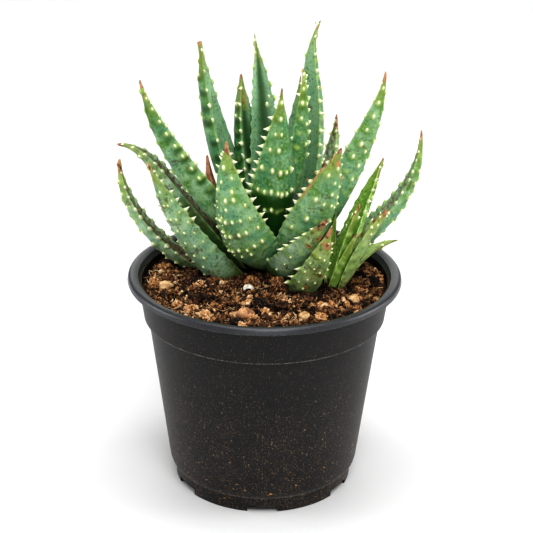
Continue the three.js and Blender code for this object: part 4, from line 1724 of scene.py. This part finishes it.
@dataclass(frozen=True)
class Lump:
    """One lump in a set place on the mix, with its size, its height as a share of that, and its tone."""

    x: float
    y: float
    size: float
    flat: float = 0.8
    tone: float = 0.4


LUMPS = (
    Lump(50, 1.6, 6, 0.8, 0.62),
    Lump(-45.5, 11.5, 6, 0.8, 0.5),
    Lump(-25, -37.8, 6.5, 0.55, 0.75),
    Lump(-38, -26.5, 6, 0.6, 0.72),
    Lump(-32.5, -31, 5, 0.6, 0.72),
    Lump(6, -11, 8, 0.9, 0.3),
    Lump(-5, -40.5, 4.5, 0.6, 0.7),
    Lump(26, -33, 6, 0.7, 0.35),
    Lump(47, 9, 5.5, 0.8, 0.4),
    Lump(-7, -26.5, 2.4, 0.8, 0.95),
    Lump(42.4, -11.5, 1.7, 0.8, 1.2),
    Lump(-34, -25.5, 1.3, 0.8, 1.1),
    Lump(-27, -28.5, 1.4, 0.8, 1.0),
    Lump(-24, 3, 1.6, 0.8, 0.95),
)


@dataclass
class PottingMix:
    """The mix that fills the pot: a clodded surface strewn with crumbs, chips of bark and fibres."""

    pot: NurseryPot
    level: float = SOIL_LEVEL
    mound: float = 1.8
    roll: float = 0.4
    slack: float = 0.35  # between the mix and the pot's wall

    RINGS = 100
    SEGMENTS = 300
    CLODS = 150
    CRUMBS = 2400
    CHIPS = 500
    FIBRES = 4200
    WAVES = (6.1, 7.3)  # millimetres for each radian of the solid's own swells, across and back
    EDGE_WIDTH = 5
    EDGE_SINK = -0.7  # the height that the relief gives way to at the wall
    EDGE_RELIEF = 0.45  # the share of the relief that is left there
    CLOD_RELIEF = (8.5, 3.8, 0.75)  # pitch, height and the share of it that is sunk
    CRUMB_RELIEF = (3.1, 2.1, 0.7)
    GRIT_RELIEF = (1.3, 0.9)
    CLOD_SIZES = (3.6, 7.5)
    CRUMB_SIZE = 1.15
    LARGEST_CRUMB = 3.5
    CHIP_LENGTHS = (1.6, 4.8)
    FIBRE_LENGTHS = (1.2, 4.2)
    FIBRE_WIDTHS = (0.2, 0.5)
    LIFT = 0.9  # how high a loose fibre can lie
    EDGE_CLEARANCE = 1.6  # how far loose grains stay from the wall
    DETAIL = ((1.5, 1), (3.6, 2), (math.inf, 4))  # lumps below each size have this much detail

    def base_height(self, x: float, y: float) -> float:
        """Works out the solid's own smooth surface.

        Args:
            x: How far to the right.
            y: How far back.

        Returns:
            The height there.
        """
        out = math.hypot(x, y) / self.pot.inner_radius(self.level)
        swell = math.sin(x / self.WAVES[0] + 1) * math.cos(y / self.WAVES[1])
        return self.level + self.mound * (1 - out * out) + self.roll * swell

    def lumps(self, x: float, y: float) -> float:
        """Works out the relief of clods, crumbs and grit.

        Args:
            x: How far to the right.
            y: How far back.

        Returns:
            The height there over the smooth surface.
        """
        at = Vector((x, y, 3.7))
        total = 0.0
        for pitch, height, sunk in (self.CLOD_RELIEF, self.CRUMB_RELIEF):
            total += height * (1 - min(1.0, noise.voronoi(at / pitch)[0][0]) ** 2 - sunk)
        pitch, height = self.GRIT_RELIEF
        return total + height * grain(at, pitch)

    def surface_height(self, x: float, y: float) -> float:
        """Works out the surface that is seen.

        Args:
            x: How far to the right.
            y: How far back.

        Returns:
            The height there.
        """
        edge = smooth(0, self.EDGE_WIDTH, self.pot.inner_radius(self.level) - math.hypot(x, y))
        relief = mix(self.EDGE_SINK, self.lumps(x, y), mix(self.EDGE_RELIEF, 1, edge))
        return self.base_height(x, y) + relief

    def body(self) -> Shape:
        """Builds the closed body of the mix.

        Returns:
            The body, with its tones of painted shade and light.
        """
        shape = Shape("tone")
        collar_z = self.pot.height - self.pot.collar_height
        floor = self.pot.floor_z + self.pot.wall + GAP
        spans = [(self.pot.body_foot - self.pot.foot_wall - self.pot.wall - 1, floor)]
        for z in (self.pot.body_foot_z, collar_z - self.pot.wall, collar_z + self.pot.wall):
            spans.append((self.pot.inner_radius(z) - self.slack, z))
        rings = [shape.ring(self.circle(radius, lambda x, y: z)) for radius, z in spans]
        edge = self.pot.inner_radius(self.level) - self.slack
        for ring in range(self.RINGS, 0, -1):
            rings.append(shape.ring(self.circle(edge * ring / self.RINGS, self.surface_height)))
        middle = shape.point(Vector((0, 0, self.surface_height(0, 0))))
        shape.loft(rings, shape.point(Vector((0, 0, floor))), middle)
        self.paint_light_and_shade(shape)
        return shape

    def circle(self, radius: float, height: Callable[[float, float], float]) -> Iterator[Vector]:
        """Walks round a circle, at heights that depend on where it is.

        Args:
            radius: The circle's radius.
            height: Gives the height over a point.

        Yields:
            Points round the circle.
        """
        for i in range(self.SEGMENTS):
            turn = 2 * math.pi * i / self.SEGMENTS
            x, y = radius * math.cos(turn), radius * math.sin(turn)
            yield Vector((x, y, height(x, y)))

    def paint_light_and_shade(self, shape: Shape) -> None:
        """Paints shade into the hollows and light onto the tops of lumps.

        Args:
            shape: The body of the mix.
        """
        tones = shape.paints["tone"]
        for i, at in enumerate(shape.points):
            proud = at.z - self.base_height(at.x, at.y)
            # painted shade low in the hollows, painted light high on the lumps
            tones[i] = 0.02 + 0.4 * smooth(-1.2, 1.6, proud) + 0.12 * grain(at, 4)

    def spots(self, count: int, draw: random.Random, bodies: list[BVHTree]) -> Iterator[Vector]:
        """Yields random places on the surface that no leaf or stone covers.

        Args:
            count: How many places are tried.
            draw: The source of random numbers.
            bodies: The leaves and stones to keep out of.

        Yields:
            Points on the surface.
        """
        edge = self.pot.inner_radius(self.level) - self.EDGE_CLEARANCE
        for _ in range(count):
            out, turn = edge * math.sqrt(draw.random()), draw.uniform(0, 2 * math.pi)
            x, y = out * math.cos(turn), out * math.sin(turn)
            at = Vector((x, y, self.surface_height(x, y)))
            if not any(inside(tree, at) for tree in bodies):
                yield at

    @staticmethod
    def pick(draw: random.Random, *weights: float) -> float:
        """Draws a grain's tone, with a weight for each kind of grain."""
        return draw.uniform(*draw.choices(list(Grain), weights=weights)[0].value)

    def crumb(
        self, shape: Shape, at: Vector, size: float, tone: float, draw: random.Random, flat: float = 0
    ) -> None:
        """Adds a torn, angular lump.

        Args:
            shape: What it's added to.
            at: Its middle.
            size: How wide it is.
            tone: Its colour, from dark to light.
            draw: The source of random numbers.
            flat: Its height as a share of its width, for a lump that lies flat.
        """
        stretch = Vector((draw.uniform(0.8, 1.3), draw.uniform(0.7, 1.1), draw.uniform(0.6, 0.95)))
        spin = Quaternion((draw.gauss(0, 1), draw.gauss(0, 1), draw.gauss(0, 1), draw.gauss(0, 1)))
        spin.normalize()
        if flat:
            stretch.z, spin = flat, Quaternion((0, 0, 1), draw.uniform(0, 6))
        shift = Vector((draw.uniform(0, 99), draw.uniform(0, 99), draw.uniform(0, 99)))
        start = len(shape.points)
        corners, faces = lump_form(next(detail for limit, detail in self.DETAIL if size < limit))
        for corner in corners:
            broken = noise.noise(corner * 3.2 + shift) + 0.7 * noise.noise(corner * 7 + shift)
            rough = 1 + 0.45 * noise.noise(corner * 1.3 + shift) + 0.45 * broken
            local = Vector(a * b for a, b in zip(corner, stretch)) * (size / 2 * rough)
            # painted light where the lump bulges out and painted shade in its dents
            shape.point(at + spin @ local, {"tone": tone + 0.3 * broken})
        shape.faces.extend(tuple(start + i for i in face) for face in faces)

    @staticmethod
    def sliver(
        shape: Shape, at: Vector, long: float, wide: float, tone: float, draw: random.Random
    ) -> None:
        """Adds a thin curled splinter or fibre.

        Args:
            shape: What it's added to.
            at: Its middle.
            long: Its length.
            wide: Its width.
            tone: Its colour, from dark to light.
            draw: The source of random numbers.
        """
        turn, tilt = draw.uniform(0, 2 * math.pi), draw.gauss(0, 0.5)
        along = direction(turn, tilt)
        side = Vector((-math.sin(turn), math.cos(turn), 0))
        up = side.cross(along)
        bow = side * draw.uniform(-0.7, 0.7) * long - up * draw.uniform(0, 0.5) * long
        rings = []
        for t in (-0.5, -0.25, 0, 0.25, 0.5):
            middle = at + along * (long * t) + bow * (t * t - 0.1) + up * (wide * 0.5)
            slim = wide * (1 - 1.6 * t * t) / 2
            places = (side * slim, -up * (slim * 0.7), -side * slim, up * (slim * 0.7))
            rings.append(shape.ring([middle + place for place in places], {"tone": tone}))
        tips = [at + along * (long * t) + bow * 0.19 + up * (wide * 0.5) for t in (-0.55, 0.55)]
        shape.loft(rings, *shape.ring(tips, {"tone": tone}))

    def strew(self, draw: random.Random, bodies: list[BVHTree]) -> dict[str, Shape]:
        """Scatters the loose grains, each kind in its own shape.

        Args:
            draw: The source of random numbers.
            bodies: The leaves and stones to keep out of.

        Returns:
            The shapes by their pieces' names.
        """
        names = ("peat_clods", "peat_crumbs", "bark_chips", "peat_fibres")
        clods, crumbs, chips, fibres = shapes = [Shape("tone") for _ in names]
        for lump in LUMPS:
            at = Vector((lump.x, lump.y, self.base_height(lump.x, lump.y) + lump.size * lump.flat * 0.2))
            self.crumb(clods, at, lump.size, lump.tone, draw, lump.flat)
        for at in self.spots(self.CLODS, draw, bodies):
            size = draw.uniform(*self.CLOD_SIZES)
            room = all(tree.find_nearest(at, size * 0.42)[0] is None for tree in bodies)
            if room and math.hypot(at.x, at.y) < self.pot.inner_radius(self.level) - size * 0.6:
                self.crumb(clods, at, size, self.pick(draw, 5, 4, 1), draw)
        for at in self.spots(self.CRUMBS, draw, bodies):
            size = min(self.LARGEST_CRUMB, self.CRUMB_SIZE * math.exp(draw.gauss(0.1, 0.5)))
            self.crumb(crumbs, at + Vector((0, 0, size * 0.12)), size, self.pick(draw, 4, 4, 4), draw)
        for at in self.spots(self.CHIPS, draw, bodies):
            long = draw.uniform(*self.CHIP_LENGTHS)
            self.sliver(chips, at, long, long * draw.uniform(0.3, 0.55), self.pick(draw, 1, 2, 6), draw)
        for at in self.spots(self.FIBRES, draw, bodies):
            lift = Vector((0, 0, draw.uniform(0, self.LIFT)))
            long, wide = draw.uniform(*self.FIBRE_LENGTHS), draw.uniform(*self.FIBRE_WIDTHS)
            tone = self.pick(draw, 3, 3, 4) + draw.uniform(-0.1, 0.25)
            self.sliver(fibres, at + lift, long, wide, tone, draw)
        return dict(zip(names, shapes))

    def build(self, draw: random.Random, bodies: list[BVHTree]) -> None:
        """Makes the mix and what lies loose on it.

        Args:
            draw: The source of random numbers.
            bodies: The leaves and stones to keep out of.
        """
        finish = PeatAndBark().material
        settle(self.body().build("potting_mix_body", finish), "potting_mix", "soil")
        for name, shape in self.strew(draw, bodies).items():
            settle(shape.build(name, finish), "potting_mix")


LUMP_FORMS: dict[int, tuple[list[Vector], list[tuple[int, ...]]]] = {}


def lump_form(detail: int) -> tuple[list[Vector], list[tuple[int, ...]]]:
    """Makes a ball of triangles, once for each level of detail.

    Args:
        detail: Blender's number of subdivisions.

    Returns:
        Its corners and its faces.
    """
    if detail not in LUMP_FORMS:
        ball = bmesh.new()
        bmesh.ops.create_icosphere(ball, subdivisions=detail, radius=1)
        corners = [corner.co.copy() for corner in ball.verts]
        faces = [tuple(corner.index for corner in face.verts) for face in ball.faces]
        LUMP_FORMS[detail] = corners, faces
        ball.free()
    return LUMP_FORMS[detail]


@dataclass
class Pebble:
    """A worn stone that lies in the mix."""

    node: str
    x: float
    y: float
    size: float
    across: float
    tall: float
    finish: WornStone
    facets: float = 0.12  # how uneven it is

    SUNK = 0.3  # the share of its height that is below the mix

    def body(self, soil: PottingMix) -> Shape:
        """Builds the stone where its solid lies.

        Args:
            soil: The mix that it lies in.

        Returns:
            The stone.
        """
        shape = Shape()
        height = self.size * self.tall
        lift = soil.base_height(self.x, self.y) + height * (0.5 - self.SUNK)
        middle = Vector((self.x, self.y, lift))
        corners, faces = lump_form(4)
        shift = Vector((self.x, self.y, 0))
        for corner in corners:
            rough = 1 + self.facets * (noise.noise(corner * 1.3 + shift) - 0.35)
            rough += 0.03 * noise.noise(corner * 5 + shift)
            reach = self.size / 2 * rough
            shape.point(middle + Vector((corner.x, corner.y * self.across, corner.z * self.tall)) * reach)
        shape.faces.extend(faces)
        return shape

    def build(self, shape: Shape) -> None:
        """Makes the stone."""
        settle(shape.build(f"{self.node}_stone", self.finish.material), "pebble", self.node)


TAN_STONE = WornStone("worn_tan_stone", "#e6c698", "#a47a4c")
PALE_STONE = WornStone("worn_pale_stone", "#f4eee2", "#b5a48c")
BROWN_STONE = WornStone("worn_brown_stone", "#c99b70", "#7c5336")


def pebbles() -> list[Pebble]:
    """Lists the stones in the mix.

    Returns:
        The stones.
    """
    return [
        Pebble("pebble_left", -44, -8, 6.2, 0.85, 0.75, TAN_STONE),
        Pebble("pebble_white", -7, -12, 5, 0.9, 0.8, PALE_STONE),
        Pebble("pebble_front", -8, -38, 9.6, 0.7, 0.6, BROWN_STONE, facets=0.3),
        Pebble("pebble_front_right", 17, -38, 5.2, 0.9, 0.8, TAN_STONE),
        Pebble("pebble_right", 39, -20, 5.4, 1, 0.85, TAN_STONE),
    ]


# ---- studio


@dataclass
class SoftBox:
    """A square soft white light: its place and side in metres, and its power in watts."""

    name: str
    at: tuple[float, float, float]
    side: float
    power: float

    def build(self, towards: Vector) -> None:
        """Hangs the light and turns it to the plant.

        Args:
            towards: The point that it faces.
        """
        lamp = bpy.data.lights.new(self.name, "AREA")
        lamp.shape, lamp.size, lamp.energy = "SQUARE", self.side, self.power
        light = bpy.data.objects.new(self.name, lamp)
        light.location = self.at
        light.rotation_euler = (towards - light.location).to_track_quat("-Z", "Y").to_euler()
        bpy.context.scene.collection.objects.link(light)


LIGHTS = (
    SoftBox("top_light", (0, 0, 1.7), 1.2, 12.6),
    SoftBox("front_light", (0.1, -1.7, 0.4), 0.9, 4),
    SoftBox("key_light", (0.14, -0.95, 1.2), 0.6, 8),
    SoftBox("back_light", (0, 1.7, 0.7), 1.4, 6),
    SoftBox("right_light", (1.5, 0.1, 0.6), 0.9, 11),
    SoftBox("left_light", (-1.5, 0.1, 0.6), 0.9, 9),
)


@dataclass
class Studio:
    """The floor, the lights and the camera, in metres."""

    floor_side: float = 8
    sky: str = "#ffffff"
    sky_strength: float = 0.18
    lit_z: float = 0.12  # the height that the lights face
    distance: float = 0.8
    pitch: float = 23.45
    roll: float = 0.55
    look_x: float = 0.0008
    look_z: float = 0.1022
    focal_px: float = 1800.8
    frame_px: float = 533
    sensor: float = 36  # millimetres

    def build(self) -> None:
        """Sets everything up."""
        self.lay_floor()
        self.light()
        self.aim_camera()
        view = bpy.context.scene.view_settings
        view.view_transform = "Standard"
        view.look = "High Contrast"

    def lay_floor(self) -> None:
        """Lays the pale floor."""
        half = self.floor_side / 2 / MM
        shape = Shape()
        corners = (Vector((x * half, y * half, 0)) for x, y in ((-1, -1), (1, -1), (1, 1), (-1, 1)))
        shape.faces.append(tuple(shape.ring(corners)))
        shape.build("studio_floor", StudioPaper().material)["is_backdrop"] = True

    def light(self) -> None:
        """Lights the plant softly from all round, and a little more from its right than its left."""
        world = bpy.data.worlds.new("studio_air")
        world.use_nodes = True
        background = world.node_tree.nodes["Background"]
        background.inputs["Color"].default_value = linear(self.sky)
        background.inputs["Strength"].default_value = self.sky_strength
        bpy.context.scene.world = world
        for box in LIGHTS:
            box.build(Vector((0, 0, self.lit_z)))

    def aim_camera(self) -> None:
        """Puts the camera where the plant is seen from a little above its front."""
        lens = bpy.data.cameras.new("camera")
        lens.sensor_width = self.sensor
        lens.lens = self.focal_px * self.sensor / self.frame_px
        camera = bpy.data.objects.new("camera", lens)
        pitch = math.radians(self.pitch)
        target = Vector((self.look_x, 0, self.look_z))
        camera.location = target + Vector((0, -math.cos(pitch), math.sin(pitch))) * self.distance
        tilt = Matrix.Rotation(math.pi / 2 - pitch, 4, "X")
        roll = Matrix.Rotation(math.radians(self.roll), 4, "Z")
        camera.rotation_euler = (tilt @ roll).to_euler()
        bpy.context.scene.collection.objects.link(camera)
        bpy.context.scene.camera = camera


# ---- the whole


def write_sizes() -> None:
    """Works out the solids' box and the finished model's box, and keeps neither."""
    boxes = {"cad": solid_box, "visual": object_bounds()}
    {name: [list(corner) for corner in box] for name, box in boxes.items()}


def main() -> None:
    """Builds the plant, its pot and the studio."""
    logging.basicConfig(level=logging.INFO, format="%(message)s")
    draw = random.Random(SEED)
    Studio().build()
    pot = NurseryPot()
    pot.build()
    plants = [
        Rosette(MAIN_STEM, "stem", "leaf", main_leaves()),
        Rosette(OFFSET_STEM, "offset_stem", "offset_leaf", offset_leaves()),
    ]
    bodies = {node: body for plant in plants for node, body in plant.grow(draw).items()}
    trees = {node: body.tree() for node, body in bodies.items()}
    for plant in plants:
        plant.dress(bodies, trees)
    soil = PottingMix(pot)
    laid = [(stone, stone.body(soil)) for stone in pebbles()]
    for stone, shape in laid:
        stone.build(shape)
    soil.build(draw, [*trees.values(), *(shape.tree() for _, shape in laid)])
    write_sizes()


if __name__ == "__main__":
    main()
